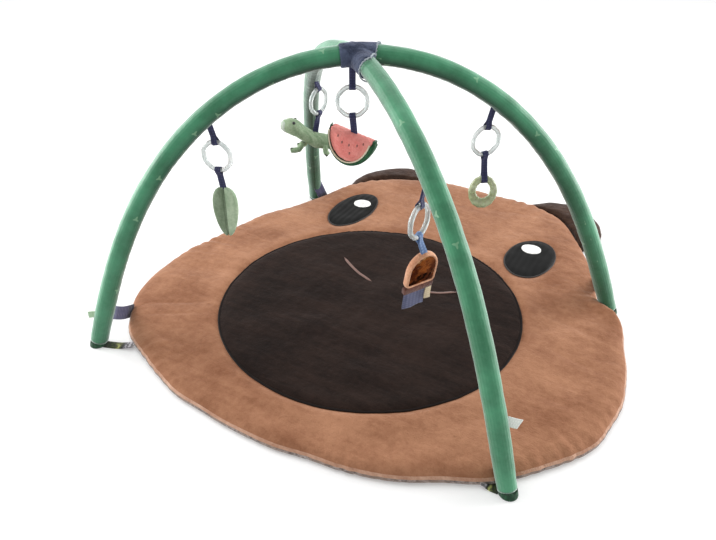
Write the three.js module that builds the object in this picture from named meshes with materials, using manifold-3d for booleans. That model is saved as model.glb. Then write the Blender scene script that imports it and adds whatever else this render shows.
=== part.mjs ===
// Padded floor mat shaped as an animal's face, with two crossed padded arches and five hanging toys.
// Millimetres, +Z up. The origin is on the floor under the arches' crossing, +Y runs to the head's top.
import * as THREE from 'three';
import { mergeVertices } from 'three/addons/utils/BufferGeometryUtils.js';
import Module from 'manifold-3d';

const wasm = await Module();
wasm.setup();

// Clearance between neighbours, the room a cutter takes, and the thickness of a sewn-on cloth piece.
const GAP = 0.3;
const ROOM = GAP + 0.1;
const CLOTH = 2;

// The mat: a closed outline, then its surface as rings at a share of the way out to that outline.
const MAT_CENTRE = { x: 35, y: 80 };
const MAT_STEPS = 96;
const MAT_OUTLINE = [
  { x: 28, y: -361 }, { x: -94, y: -352 }, { x: -235, y: -307 }, { x: -328, y: -256 },
  { x: -387, y: -168 }, { x: -407, y: -45 }, { x: -392, y: 36 }, { x: -362, y: 172 },
  { x: -308, y: 284 }, { x: -280, y: 346 }, { x: -268, y: 404 }, { x: -190, y: 489 }, { x: -51, y: 539 },
  { x: 78, y: 534 }, { x: 206, y: 519 }, { x: 300, y: 409 }, { x: 351, y: 318 },
  { x: 370, y: 268 }, { x: 377, y: 238 }, { x: 388, y: 209 }, { x: 423, y: 190 },
  { x: 449, y: 150 }, { x: 476, y: 85 }, { x: 484, y: 10 }, { x: 484, y: -53 },
  { x: 458, y: -150 }, { x: 384, y: -230 }, { x: 262, y: -318 }, { x: 170, y: -346 },
];
const MAT_TOP = [
  { reach: 1, high: 9 }, { reach: 0.993, high: 15 }, { reach: 0.978, high: 19.5 },
  { reach: 0.95, high: 22.5 }, { reach: 0.88, high: 25 }, { reach: 0.76, high: 26 },
  { reach: 0.62, high: 25.5 }, { reach: 0.3, high: 24.5 },
];
const MAT_UNDER = [{ reach: 0.998, high: 3 }, { reach: 0.99, high: 0 }];
// Puckers along the sewn edge: waves in one round, how far they push the edge out, and their start.
// They begin at a share of the way out, and raise the top by a share of their push.
const EDGE_WAVES = [
  { count: 17, out: 1.6, start: 0.4 }, { count: 29, out: 1.4, start: 2.1 },
  { count: 41, out: 0.9, start: 4.0 },
];
const EDGE_FROM = 0.9;
const EDGE_LIFT = 0.45;
// Soft troughs in the padding: middle, direction in degrees, half length, half width and depth.
const CREASES = [
  { x: -300, y: -170, turn: 28, long: 130, wide: 26, deep: 3.2 },
  { x: -330, y: -60, turn: 12, long: 100, wide: 24, deep: 2.4 },
  { x: 60, y: -322, turn: 8, long: 150, wide: 22, deep: 3.0 },
  { x: 210, y: -285, turn: 40, long: 90, wide: 20, deep: 2.6 },
  { x: -150, y: -300, turn: -24, long: 100, wide: 20, deep: 2.4 },
  { x: 400, y: -20, turn: 75, long: 140, wide: 26, deep: 3.0 },
  { x: 350, y: 120, turn: 55, long: 110, wide: 24, deep: 2.8 },
  { x: -60, y: 440, turn: 5, long: 160, wide: 28, deep: 2.4 },
  { x: 20, y: 120, turn: 20, long: 170, wide: 30, deep: 2.2 },
  { x: 120, y: -90, turn: -30, long: 150, wide: 30, deep: 2.0 },
];
const CREASE_LOST_AT_EDGE = 0.6;

// Pieces sewn on the mat's top, as ovals.
const MUZZLE = { x: 26, y: -8, halfWide: 274, halfLong: 270, steps: 64 };
const EYE_STEPS = 40;
const EYES = [
  { side: 'left', x: -183.5, y: 297, halfWide: 44, halfLong: 82 },
  { side: 'right', x: 228, y: 293, halfWide: 48, halfLong: 73 },
];
const GLINT = { steps: 20, thick: 1.5 };
const GLINTS = [
  { side: 'left', x: -176, y: 325, halfWide: 20, halfLong: 16 },
  { side: 'right', x: 221, y: 322, halfWide: 20, halfLong: 17 },
];

// Ears: full half ovals sewn into the mat's edge, mirrored about the face's own middle line.
const FACE_MIDDLE_X = 27;
const EAR = {
  off: 199, y: 473, turn: 39.5, halfWide: 115, deep: 84, high: 15, edge: 3, fullness: 2.4, steps: 24,
};
// An ear is cut back by the mat, by the mat raised a little, and by an oval over the mat's middle.
const EAR_TRIM = { lift: 12, halfWide: 330, halfLong: 400, steps: 48, low: -5, high: 40 };

// The arches: four padded sleeves of one diameter, each from the crossing to its foot.
// endTurn is the slope at the foot, bendTop how much of the bend sits near the top,
// and bow how far the leg stands off its straight line in plan, to the left looking out.
const SLEEVE = { radius: 15.6, sides: 12, steps: 18, start: 30 };
const LEG_POINTS = 240;
const LEG_RUN_ON = 12;
const LEGS = [
  { name: 'left', x: -349, y: -311, hubHigh: 477.8, endTurn: 71.3, bendTop: 0.97, bow: -14.3 },
  { name: 'right', x: 406, y: 226, hubHigh: 477.8, endTurn: 68.7, bendTop: 1.07, bow: 8.2 },
  { name: 'front', x: 386, y: -266, hubHigh: 472.2, endTurn: 69.3, bendTop: 1.1, bow: -14.0 },
  { name: 'back', x: -315, y: 344, hubHigh: 472.2, endTurn: 69.3, bendTop: 1.1, bow: 29.0 },
];
const CAP = { radius: 14, high: 9, from: 44, steps: 3 };
const HUB = { radius: 18.4, reach: 33, steps: 2, ball: 21, high: 475 };

// Ties at each foot: a webbing strap higher up the leg and a flat ribbon on the floor.
const FOOT_STRAP = { high: 66, low: 11, bend: 0.55, sag: 5, thick: 1.9, wide: 24 };
const FOOT_RIBBON = { thick: 1.6, wide: 17, from: 0.15, bend: 0.6, high: 7, cutHigh: 60, cutRun: 20 };
// Where each leg's strap and ribbon meet the mat's sewn edge. A strap stands on its edge,
// but one that drops steeply lies across the leg, its width along the given direction in degrees.
const TIE_POINTS = {
  left: { strap: { x: -354, y: -218 }, ribbon: { x: -286, y: -287 } },
  right: { strap: { x: 360, y: 291 }, ribbon: { x: 427, y: 188 } },
  front: { strap: { x: 366, y: -243, wideAlong: 36 }, ribbon: { x: 348, y: -268 } },
  back: { strap: { x: -287, y: 335, wideAlong: 66 }, ribbon: { x: -292, y: 306 } },
};
// Tags sewn into the sleeves' seams, tucked in by a little and drooping by some degrees.
const TAG_TUCK = 2;
const TAGS = [
  {
    name: 'label', leg: 'front', high: 110, wide: 23, tall: 18, thick: 1.2,
    turn: 30, droop: 22, colour: 'white',
  },
  {
    name: 'leg_tab', leg: 'left', high: 62, wide: 13, tall: 13, thick: 2.2,
    turn: 210, droop: 0, colour: 'mint',
  },
];

// Toy chains: a webbing loop, a link ring and a second webbing loop. Each hangs at a share of the way
// out from the crossing to the foot. turn is the ring's facing about Z in degrees, ringTop its top,
// toyTop where the toy begins, and each drift how far it hangs off plumb along the direction DRIFT.
const LINK = { radius: 23.6, tube: 3.9, sides: 7, steps: 20 };
const WEBBING = { wide: 10.5, thick: 2.6, wrap: 2.3, wrapSides: 12, tuck: 8 };
const DRIFT = { x: 0.869, y: 0.494 };
const CHAINS = [
  { toy: 'leaf', leg: 'left', share: 0.509, ringTop: 356, toyTop: 276, turn: 11, ringDrift: 11.5, toyDrift: 16 },
  { toy: 'lizard', leg: 'back', share: 0.545, ringTop: 344, toyTop: 259.5, turn: 85, ringDrift: 7, toyDrift: -1 },
  { toy: 'melon', leg: 'hub', share: 0, ringTop: 432, toyTop: 352, turn: 29.6, ringDrift: -11, toyDrift: -8 },
  { toy: 'teether', leg: 'right', share: 0.461, ringTop: 364, toyTop: 274.5, turn: 51, ringDrift: -12, toyDrift: -8.5 },
  { toy: 'mirror', leg: 'front', share: 0.507, ringTop: 343.5, toyTop: 265.5, turn: 85, ringDrift: -10.5, toyDrift: 0.5 },
];

// The toys, each with its own turn about Z and its lean in the plane that it faces. Where one is
// given, a pitch swings the toy's lower end back, so that its face looks down a little.
const LEAF = {
  long: 94, halfWide: 21, thick: 11, edge: 2.5, middle: 0.45, fullness: 0.8, taper: 0.25, steps: 12,
  turn: 24, lean: 0,
};
const MELON = {
  radius: 41, deep: 55, thick: 26, edge: 20, rind: 6, rindProud: 1, middle: 0.42, steps: 14,
  turn: 10, lean: 15.5,
};
// An egg-shaped ring: half width and half height of its middle line, its thickness at the top,
// and how many times thicker it is at the bottom.
const TEETHER = { radius: 18, tall: 22.7, tube: 6, heavy: 1.55, gather: 3, turn: 29.6, lean: 0 };
const MIRROR = {
  halfWide: 26, shoulder: 31, tall: 60, thick: 11, border: 7, plate: 2, steps: 12,
  turn: 62, lean: 0, pitch: 12,
  band: { halfWide: 26, tall: 13, thick: 9 },
  flap: { halfWide: 19, tall: 33, thick: 3, side: -2.5, back: 1 },
  tab: { halfWide: 5.5, tall: 22, thick: 2.4, side: 19.5, back: -2.6 },
};
const LIZARD = { turn: 26, lean: 0, sides: 12, hip: -24, limbRadius: 5.2, limbSides: 8, limbSteps: 4 };
// Its stuffed body as ovals along its back: place, half width and half height.
const LIZARD_BODY = [
  { x: -68, z: 5.5, wide: 6, tall: 7 }, { x: -61, z: 6.5, wide: 12, tall: 12.5 },
  { x: -48, z: 6.5, wide: 15, tall: 15.5 }, { x: -36, z: 2.5, wide: 15, tall: 15 },
  { x: -22, z: -11.5, wide: 14.5, tall: 15 }, { x: 0, z: -22.5, wide: 16, tall: 16.5 },
  { x: 20, z: -24.5, wide: 15, tall: 16 }, { x: 38, z: -26.5, wide: 11, tall: 12 },
  { x: 56, z: -30.5, wide: 7, tall: 8 }, { x: 72, z: -34, wide: 4, tall: 4 },
];
const LIZARD_LEGS = [
  { name: 'fore_near', x: -24, y: -8, reach: -24, drop: 16 },
  { name: 'fore_far', x: -20, y: 10, reach: -18, drop: 18 },
  { name: 'hind_near', x: 20, y: -10, reach: 6, drop: 22 },
  { name: 'hind_far', x: 24, y: 10, reach: 10, drop: 22 },
];
// A limb's knee and paw, as shares of its reach, its drop and its distance off the middle.
const KNEE = { reach: 0.3, drop: 0.85, off: 1.5 };
const PAW = { reach: 1, drop: 1, off: 1.6 };
const LIZARD_EYE = { x: -40, off: 9.8, z: 15.2, radius: 3.6 };

// Colours as seen in the photograph.
const COLOURS = {
  plush: 0xa8744f, dark: 0x352b26, eye: 0x161617, white: 0xf0ece4, green: 0x3f7d5c, cap: 0x16301f,
  navy: 0x2a2c4c, ribbon: 0x4a5138, clear: 0xdfe6e2, leafDark: 0x6f8f5c, leafLight: 0x9dbd8a,
  lizard: 0x5c8a55, bead: 0x0a0a0a, flesh: 0xde7d78, rind: 0x2c5136, lime: 0xb3ad6a, tan: 0xb98a68,
  mirror: 0xc9ccd0, brown: 0x4b2c22, lavender: 0x7480a8, cream: 0xcfc2a6, mint: 0xb4cdb0,
};

const radians = THREE.MathUtils.degToRad;
const group = new THREE.Group();

function add(name, geometry, colour, roughness = 0.9, metalness = 0) {
  const material = new THREE.MeshStandardMaterial({ color: colour, roughness, metalness });
  const mesh = new THREE.Mesh(geometry, material);
  mesh.name = name;
  group.add(mesh);
}

// Solids for joining and cutting.
function toSolid(geometry) {
  const bare = geometry.clone();
  bare.deleteAttribute('normal');
  bare.deleteAttribute('uv');
  const merged = mergeVertices(bare, 1e-4);
  return new wasm.Manifold(new wasm.Mesh({
    numProp: 3,
    vertProperties: new Float32Array(merged.attributes.position.array),
    triVerts: new Uint32Array(merged.index.array),
  }));
}

function toGeometry(solid) {
  const mesh = solid.getMesh();
  const geometry = new THREE.BufferGeometry();
  geometry.setAttribute('position', new THREE.BufferAttribute(new Float32Array(mesh.vertProperties), 3));
  geometry.setIndex(new THREE.BufferAttribute(new Uint32Array(mesh.triVerts), 1));
  return geometry;
}

function biggest(solid) {
  return solid.decompose().sort((a, b) => b.volume() - a.volume())[0];
}

// The same solid with a little more room round it, for cutting its neighbour.
function grown(solid) {
  const box = solid.boundingBox();
  const middle = [0, 1, 2].map((k) => (box.min[k] + box.max[k]) / 2);
  const scale = [0, 1, 2].map((k) => 1 + (2 * ROOM) / (box.max[k] - box.min[k]));
  return solid.translate(middle.map((m) => -m)).scale(scale).translate(middle);
}

// Pitched about its own top, leaned in its own plane, turned about Z, then moved.
function turned(solid, { pitch = 0, lean = 0, turn }, x, y, z) {
  return solid.rotate([pitch, 0, 0]).rotate([0, lean, 0]).rotate([0, 0, turn]).translate([x, y, z]);
}

// A closed skin over rings of equally many points, with a fan at each end.
function loft(rings) {
  const count = rings[0].length;
  const points = rings.flat().map((p) => [p.x, p.y, p.z]);
  const faces = [];
  for (let r = 0; r + 1 < rings.length; r += 1) {
    for (let i = 0; i < count; i += 1) {
      const j = (i + 1) % count;
      faces.push([r * count + i, r * count + j, (r + 1) * count + j]);
      faces.push([r * count + i, (r + 1) * count + j, (r + 1) * count + i]);
    }
  }
  for (const [ring, flip] of [[0, true], [rings.length - 1, false]]) {
    const middle = rings[ring].reduce((sum, p) => sum.add(p), new THREE.Vector3()).divideScalar(count);
    const hub = points.push([middle.x, middle.y, middle.z]) - 1;
    for (let i = 0; i < count; i += 1) {
      const a = ring * count + i;
      const b = ring * count + ((i + 1) % count);
      faces.push(flip ? [hub, b, a] : [hub, a, b]);
    }
  }
  const geometry = new THREE.BufferGeometry();
  geometry.setAttribute('position', new THREE.Float32BufferAttribute(points.flat(), 3));
  geometry.setIndex(faces.flat());
  return geometry;
}

function oval(x, y, halfWide, halfLong, steps) {
  const points = [];
  for (let i = 0; i < steps; i += 1) {
    const a = (i / steps) * 2 * Math.PI;
    points.push(new THREE.Vector2(x + halfWide * Math.cos(a), y + halfLong * Math.sin(a)));
  }
  return points;
}

function prism(points, low, high) {
  const shape = new THREE.Shape(points);
  return new THREE.ExtrudeGeometry(shape, { depth: high - low, bevelEnabled: false }).translate(0, 0, low);
}

function block(width, depth, height, x = 0, y = 0, z = 0) {
  return new THREE.BoxGeometry(width, depth, height).translate(x, y, z);
}

// A stuffed piece lying in the XY plane: its outline at the seam, and domed faces above and below.
function pad(points, thick, edge, x, y) {
  const levels = [
    { share: 0.55, high: -thick / 2 }, { share: 0.88, high: -thick / 2.6 }, { share: 1, high: -edge / 2 },
    { share: 1, high: edge / 2 }, { share: 0.88, high: thick / 2.6 }, { share: 0.55, high: thick / 2 },
  ];
  return loft(levels.map(({ share, high }) => points.map(
    (p) => new THREE.Vector3(x + (p.x - x) * share, y + (p.y - y) * share, high),
  )));
}

function tube(curve, radius, steps, sides = SLEEVE.sides) {
  const section = new THREE.Shape(oval(0, 0, radius, radius, sides));
  return toSolid(new THREE.ExtrudeGeometry(section, { steps, bevelEnabled: false, extrudePath: curve }));
}

// A flat strip through a few points, wide across a given direction.
function strip(points, across, wide, thick) {
  const rings = points.map((p, i) => {
    const next = points[Math.min(i + 1, points.length - 1)];
    const ahead = next.clone().sub(points[Math.max(i - 1, 0)]).normalize();
    const side = across.clone().addScaledVector(ahead, -across.dot(ahead)).normalize();
    const up = new THREE.Vector3().crossVectors(ahead, side);
    return [[-1, -1], [1, -1], [1, 1], [-1, 1]].map(([a, b]) => p.clone()
      .addScaledVector(side, (a * wide) / 2).addScaledVector(up, (b * thick) / 2));
  });
  return toSolid(loft(rings));
}

// The mat.
function creaseDepth(x, y) {
  let depth = 0;
  for (const crease of CREASES) {
    const turn = radians(crease.turn);
    const dx = x - crease.x;
    const dy = y - crease.y;
    const along = (dx * Math.cos(turn) + dy * Math.sin(turn)) / crease.long;
    const across = (dy * Math.cos(turn) - dx * Math.sin(turn)) / crease.wide;
    depth += crease.deep * Math.exp(-along * along * 2 - across * across);
  }
  return depth;
}

function matOutline() {
  const control = MAT_OUTLINE.map((p) => new THREE.Vector3(p.x, p.y, 0)).reverse();
  const curve = new THREE.CatmullRomCurve3(control, true, 'centripetal');
  return curve.getSpacedPoints(MAT_STEPS).slice(0, MAT_STEPS);
}

function matGeometry(grow) {
  const outline = matOutline();
  const levels = [...MAT_UNDER].reverse().concat(MAT_TOP);
  return loft(levels.map(({ reach, high }) => outline.map((p, i) => {
    const round = (i / MAT_STEPS) * 2 * Math.PI;
    const wave = EDGE_WAVES.reduce((sum, w) => sum + w.out * Math.sin(w.count * round + w.start), 0);
    const edge = Math.max(0, (reach - EDGE_FROM) / (1 - EDGE_FROM));
    const dx = p.x - MAT_CENTRE.x;
    const dy = p.y - MAT_CENTRE.y;
    const out = reach + (wave * edge + grow) / Math.hypot(dx, dy);
    const x = MAT_CENTRE.x + dx * out;
    const y = MAT_CENTRE.y + dy * out;
    const trough = creaseDepth(x, y) * (1 - CREASE_LOST_AT_EDGE * edge);
    const isTop = high > MAT_TOP[0].high;
    return new THREE.Vector3(x, y, isTop ? high + EDGE_LIFT * wave * edge - trough + grow : high);
  })));
}

const matSolid = toSolid(matGeometry(0));
const matClear = toSolid(matGeometry(ROOM));
add('mat', toGeometry(matSolid), COLOURS.plush);

// A cloth piece laid on the mat: its outline pushed up, held between two raised copies of the mat.
function laidOn({ x, y, halfWide, halfLong }, steps, lift, thick) {
  const column = toSolid(prism(oval(x, y, halfWide, halfLong, steps), 1, 60));
  const upper = matSolid.translate([0, 0, lift + thick]);
  const lower = matSolid.translate([0, 0, lift]);
  return column.intersect(upper).subtract(lower);
}

add('muzzle', toGeometry(laidOn(MUZZLE, MUZZLE.steps, GAP, CLOTH)), COLOURS.dark);
for (const eye of EYES) {
  add(`eye_${eye.side}`, toGeometry(laidOn(eye, EYE_STEPS, GAP, CLOTH)), COLOURS.eye);
}
for (const glint of GLINTS) {
  const solid = laidOn(glint, GLINT.steps, 2 * GAP + CLOTH, GLINT.thick);
  add(`glint_${glint.side}`, toGeometry(solid), COLOURS.white);
}

// An ear: a padded half oval, flat below, cut back where the mat's edge is.
function earSolid(side) {
  const turn = radians(EAR.turn);
  const points = [];
  for (let i = 0; i < EAR.steps; i += 1) {
    const a = (i / EAR.steps) * 2 * Math.PI;
    const across = Math.abs(Math.cos(a)) ** EAR.fullness;
    const bulge = (across + Math.abs(Math.sin(a)) ** EAR.fullness) ** (-1 / EAR.fullness);
    points.push({ along: EAR.halfWide * Math.cos(a) * bulge, out: EAR.deep * Math.sin(a) * bulge });
  }
  const levels = [
    { share: 0.96, high: 0 }, { share: 1, high: EAR.edge }, { share: 0.97, high: EAR.high * 0.62 },
    { share: 0.88, high: EAR.high * 0.88 }, { share: 0.6, high: EAR.high },
  ];
  const rings = levels.map(({ share, high }) => points.map(({ along, out }) => {
    const x = EAR.off + share * (out * Math.cos(turn) + along * Math.sin(turn));
    const y = EAR.y + share * (out * Math.sin(turn) - along * Math.cos(turn));
    return new THREE.Vector3(FACE_MIDDLE_X + side * x, y, high);
  }));
  if (side < 0) rings.forEach((ring) => ring.reverse());
  const middle = oval(MAT_CENTRE.x, MAT_CENTRE.y, EAR_TRIM.halfWide, EAR_TRIM.halfLong, EAR_TRIM.steps);
  const trim = matClear.add(matClear.translate([0, 0, EAR_TRIM.lift]))
    .add(toSolid(prism(middle, EAR_TRIM.low, EAR_TRIM.high)));
  return toSolid(loft(rings)).subtract(trim);
}

add('ear_left', toGeometry(earSolid(-1)), COLOURS.dark);
add('ear_right', toGeometry(earSolid(1)), COLOURS.dark);

// A leg's path from the crossing down to its foot, from the slope along a bent pole.
function legPath(leg) {
  const end = radians(leg.endTurn);
  const line = [{ out: 0, down: 0 }];
  for (let i = 0; i < LEG_POINTS; i += 1) {
    const t = (i + 0.5) / LEG_POINTS;
    const slope = end * ((1 - leg.bendTop) * t + leg.bendTop * Math.sin((Math.PI * t) / 2));
    const last = line[line.length - 1];
    line.push({ out: last.out + Math.cos(slope), down: last.down + Math.sin(slope) });
  }
  const far = line[LEG_POINTS];
  const span = Math.hypot(leg.x, leg.y);
  return line.map(({ out, down }) => {
    const share = out / far.out;
    const side = leg.bow * 4 * share * (1 - share);
    return new THREE.Vector3(
      leg.x * share - (leg.y / span) * side,
      leg.y * share + (leg.x / span) * side,
      leg.hubHigh * (1 - down / far.down),
    );
  });
}

// The same path, run on straight below the floor so that cuts at the floor are clean.
function runOn(path) {
  const foot = path[path.length - 1];
  const down = foot.clone().sub(path[path.length - 8]).normalize();
  return [...path, ...[1, 2].map((n) => foot.clone().addScaledVector(down, n * LEG_RUN_ON))];
}

function pathPart(path, keep) {
  return new THREE.CatmullRomCurve3(path.filter(keep), false, 'centripetal');
}

const outOfHub = (p) => Math.hypot(p.x, p.y);
const belowFloor = toSolid(block(3000, 3000, 1000, 0, 0, -500));
const aboveCap = toSolid(block(3000, 3000, 1000, 0, 0, 500 + CAP.high));
const paths = {};
const sleeveClear = {};
for (const leg of LEGS) {
  const path = legPath(leg);
  const longPath = runOn(path);
  paths[leg.name] = path;
  const sleevePath = pathPart(longPath, (p) => outOfHub(p) >= SLEEVE.start);
  const sleeve = tube(sleevePath, SLEEVE.radius, SLEEVE.steps)
    .subtract(belowFloor.translate([0, 0, CAP.high + GAP]));
  sleeveClear[leg.name] = tube(sleevePath, SLEEVE.radius + ROOM, SLEEVE.steps);
  add(`sleeve_${leg.name}`, toGeometry(sleeve), COLOURS.green);
  const capPath = pathPart(longPath, (p) => p.z < CAP.from);
  const cap = tube(capPath, CAP.radius, CAP.steps).subtract(belowFloor).subtract(aboveCap);
  add(`cap_${leg.name}`, toGeometry(cap), COLOURS.cap, 0.6);
}

// The hub cover: a cloth cross over the four sleeves' ends.
function hubBall(radius) {
  return toSolid(new THREE.SphereGeometry(radius, 10, 6).translate(0, 0, HUB.high));
}

const hubArms = LEGS.map((leg) => tube(
  pathPart(paths[leg.name], (p) => outOfHub(p) <= HUB.reach),
  HUB.radius,
  HUB.steps,
));
const hubWhole = hubArms.reduce((solid, arm) => solid.add(arm), hubBall(HUB.ball));
const hubCover = Object.values(sleeveClear).reduce((solid, sleeve) => solid.subtract(sleeve), hubWhole);
add('hub_cover', toGeometry(hubCover), COLOURS.navy);

// Ties and tags on the legs.
function footStrap(leg) {
  const start = paths[leg.name].find((p) => p.z < FOOT_STRAP.high).clone();
  const { x, y, wideAlong } = TIE_POINTS[leg.name].strap;
  const end = new THREE.Vector3(x, y, FOOT_STRAP.low);
  const middle = start.clone().lerp(end, FOOT_STRAP.bend);
  const across = new THREE.Vector3(0, 0, 1);
  if (wideAlong === undefined) middle.z -= FOOT_STRAP.sag;
  else across.set(Math.cos(radians(wideAlong)), Math.sin(radians(wideAlong)), 0);
  const tail = strip([start, middle, end], across, FOOT_STRAP.wide, FOOT_STRAP.thick);
  return biggest(tail.subtract(sleeveClear[leg.name]).subtract(matClear));
}

function footRibbon(leg) {
  const path = paths[leg.name];
  const foot = path[path.length - 1];
  const { x, y } = TIE_POINTS[leg.name].ribbon;
  const away = new THREE.Vector3(x - foot.x, y - foot.y, 0);
  const rise = [
    { share: FOOT_RIBBON.from, high: FOOT_RIBBON.thick / 2 },
    { share: FOOT_RIBBON.bend, high: FOOT_RIBBON.thick / 2 },
    { share: 1, high: FOOT_RIBBON.high },
  ].map(({ share, high }) => new THREE.Vector3(foot.x + away.x * share, foot.y + away.y * share, high));
  const across = new THREE.Vector3(-away.y, away.x, 0).normalize();
  const upright = new THREE.LineCurve3(
    foot.clone().setZ(-FOOT_RIBBON.cutRun),
    foot.clone().setZ(FOOT_RIBBON.cutRun),
  );
  const leaning = pathPart(path, (p) => p.z < FOOT_RIBBON.cutHigh);
  const clear = CAP.radius + 2 * GAP;
  const foothold = tube(leaning, clear, CAP.steps).add(tube(upright, clear, 1));
  const ribbon = strip(rise, across, FOOT_RIBBON.wide, FOOT_RIBBON.thick);
  return biggest(ribbon.subtract(foothold).subtract(matClear));
}

for (const leg of LEGS) {
  add(`foot_strap_${leg.name}`, toGeometry(footStrap(leg)), COLOURS.navy);
  add(`foot_ribbon_${leg.name}`, toGeometry(footRibbon(leg)), COLOURS.ribbon);
}

for (const tag of TAGS) {
  const at = paths[tag.leg].find((p) => p.z < tag.high);
  const out = SLEEVE.radius + tag.wide / 2 - TAG_TUCK;
  const cloth = block(tag.wide, tag.thick, tag.tall, out).rotateY(radians(tag.droop));
  const placed = cloth.rotateZ(radians(tag.turn)).translate(at.x, at.y, at.z);
  const solid = toSolid(placed).subtract(sleeveClear[tag.leg]);
  add(tag.name, toGeometry(biggest(solid)), COLOURS[tag.colour]);
}

// Toys, each with its top at the origin and hanging down -Z, facing -Y. Each returns its solids by name.
function leafToy() {
  const edge = [];
  for (let i = 0; i <= LEAF.steps; i += 1) {
    const a = (i / LEAF.steps) * Math.PI;
    const side = LEAF.halfWide * Math.sin(a) ** LEAF.fullness * (1 + LEAF.taper * Math.cos(a));
    edge.push({ side, down: (LEAF.long * (1 - Math.cos(a))) / 2 });
  }
  const half = (sign) => {
    const outline = edge.map(({ side, down }) => new THREE.Vector2(sign * (side + GAP / 2), -down));
    if (sign > 0) outline.reverse();
    const x = sign * LEAF.halfWide * LEAF.middle;
    return toSolid(pad(outline, LEAF.thick, LEAF.edge, x, -LEAF.long * LEAF.middle).rotateX(Math.PI / 2));
  };
  return { leaf_dark: half(-1), leaf_light: half(1) };
}

function melonToy() {
  const arc = (inset) => {
    const points = [];
    for (let i = 0; i <= MELON.steps; i += 1) {
      const a = Math.PI + (i / MELON.steps) * Math.PI;
      points.push(new THREE.Vector2(
        (MELON.radius - inset) * Math.cos(a),
        (MELON.deep - inset) * Math.sin(a),
      ));
    }
    return points;
  };
  const flesh = pad(arc(MELON.rind + GAP), MELON.thick, MELON.edge, 0, -MELON.deep * MELON.middle);
  const band = arc(0).concat(arc(MELON.rind).reverse());
  const half = MELON.edge / 2 + MELON.rindProud;
  return {
    melon_flesh: toSolid(flesh.rotateX(Math.PI / 2)),
    melon_rind: toSolid(prism(band, -half, half).rotateX(Math.PI / 2)),
  };
}

function lizardBody(room) {
  return toSolid(loft(LIZARD_BODY.map(({ x, z, wide, tall }) => {
    const ring = oval(0, 0, wide + room, tall + room, LIZARD.sides);
    return ring.map((p) => new THREE.Vector3(x, p.x, z + p.y));
  })));
}

function lizardToy() {
  const bodyClear = lizardBody(GAP + 0.2);
  const pieces = { lizard_body: lizardBody(0) };
  for (const limb of LIZARD_LEGS) {
    const joint = ({ reach, drop, off }) => new THREE.Vector3(
      limb.x + limb.reach * reach,
      limb.y * off,
      LIZARD.hip - limb.drop * drop,
    );
    const hip = new THREE.Vector3(limb.x, limb.y, LIZARD.hip);
    const bones = new THREE.CatmullRomCurve3([hip, joint(KNEE), joint(PAW)]);
    const solid = tube(bones, LIZARD.limbRadius, LIZARD.limbSteps, LIZARD.limbSides);
    pieces[`lizard_${limb.name}`] = biggest(solid.subtract(bodyClear));
  }
  for (const [side, sign] of [['near', -1], ['far', 1]]) {
    const bead = new THREE.SphereGeometry(LIZARD_EYE.radius, 8, 6);
    const solid = toSolid(bead.translate(LIZARD_EYE.x, sign * LIZARD_EYE.off, LIZARD_EYE.z));
    pieces[`lizard_eye_${side}`] = biggest(solid.subtract(bodyClear));
  }
  return pieces;
}

function mirrorToy() {
  const { band, flap, tab } = MIRROR;
  const dome = (inset) => {
    const half = MIRROR.halfWide - inset;
    const points = [];
    for (let i = 0; i <= MIRROR.steps; i += 1) {
      const a = (i / MIRROR.steps) * Math.PI;
      const rise = (MIRROR.shoulder - inset) * Math.sin(a);
      points.push(new THREE.Vector2(half * Math.cos(a), rise - MIRROR.shoulder));
    }
    const low = inset - MIRROR.tall;
    return points.concat([new THREE.Vector2(-half, low), new THREE.Vector2(half, low)]);
  };
  // From depth back to depth front, both measured forward of the toy's middle.
  const upright = (points, back, front) => toSolid(prism(points, back, front).rotateX(Math.PI / 2));
  const face = MIRROR.thick / 2;
  const pocket = upright(dome(MIRROR.border), face - MIRROR.plate, face + MIRROR.thick);
  const bandMiddle = -MIRROR.tall - GAP - band.tall / 2;
  const flapTop = -MIRROR.tall - 2 * GAP - band.tall;
  const hung = (piece) => toSolid(block(
    2 * piece.halfWide,
    piece.thick,
    piece.tall,
    piece.side,
    piece.back,
    flapTop - piece.tall / 2,
  ));
  return {
    mirror_frame: upright(dome(0), -face, face).subtract(pocket),
    mirror_plate: upright(dome(MIRROR.border + GAP), face - MIRROR.plate + GAP, face),
    mirror_band: toSolid(block(2 * band.halfWide, band.thick, band.tall, 0, 0, bandMiddle)),
    mirror_flap: hung(flap),
    mirror_tab: hung(tab),
  };
}

function torus(radius, tubeRadius) {
  return new THREE.TorusGeometry(radius, tubeRadius, LINK.sides, LINK.steps).rotateX(Math.PI / 2);
}

function teetherRing(room) {
  return toSolid(torus(TEETHER.radius, TEETHER.tube + room)).warp((v) => {
    const round = Math.hypot(v[0], v[2]);
    const low = ((1 - v[2] / round) / 2) ** TEETHER.gather;
    const out = (round - TEETHER.radius) * (1 + (TEETHER.heavy - 1) * low);
    v[2] = ((TEETHER.tall + out) * v[2]) / round - TEETHER.tall - TEETHER.tube;
    v[0] = ((TEETHER.radius + out) * v[0]) / round;
  });
}

function teetherToy() {
  return { teether: teetherRing(0) };
}

const TOYS = {
  leaf: { build: leafToy, size: LEAF, colours: [COLOURS.leafDark, COLOURS.leafLight] },
  melon: { build: melonToy, size: MELON, colours: [COLOURS.flesh, COLOURS.rind] },
  lizard: {
    build: lizardToy,
    size: LIZARD,
    colours: [...Array(1 + LIZARD_LEGS.length).fill(COLOURS.lizard), COLOURS.bead, COLOURS.bead],
  },
  mirror: {
    build: mirrorToy,
    size: MIRROR,
    colours: [COLOURS.tan, COLOURS.mirror, COLOURS.brown, COLOURS.lavender, COLOURS.cream],
  },
  teether: { build: teetherToy, size: TEETHER, colours: [COLOURS.lime] },
};

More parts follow.
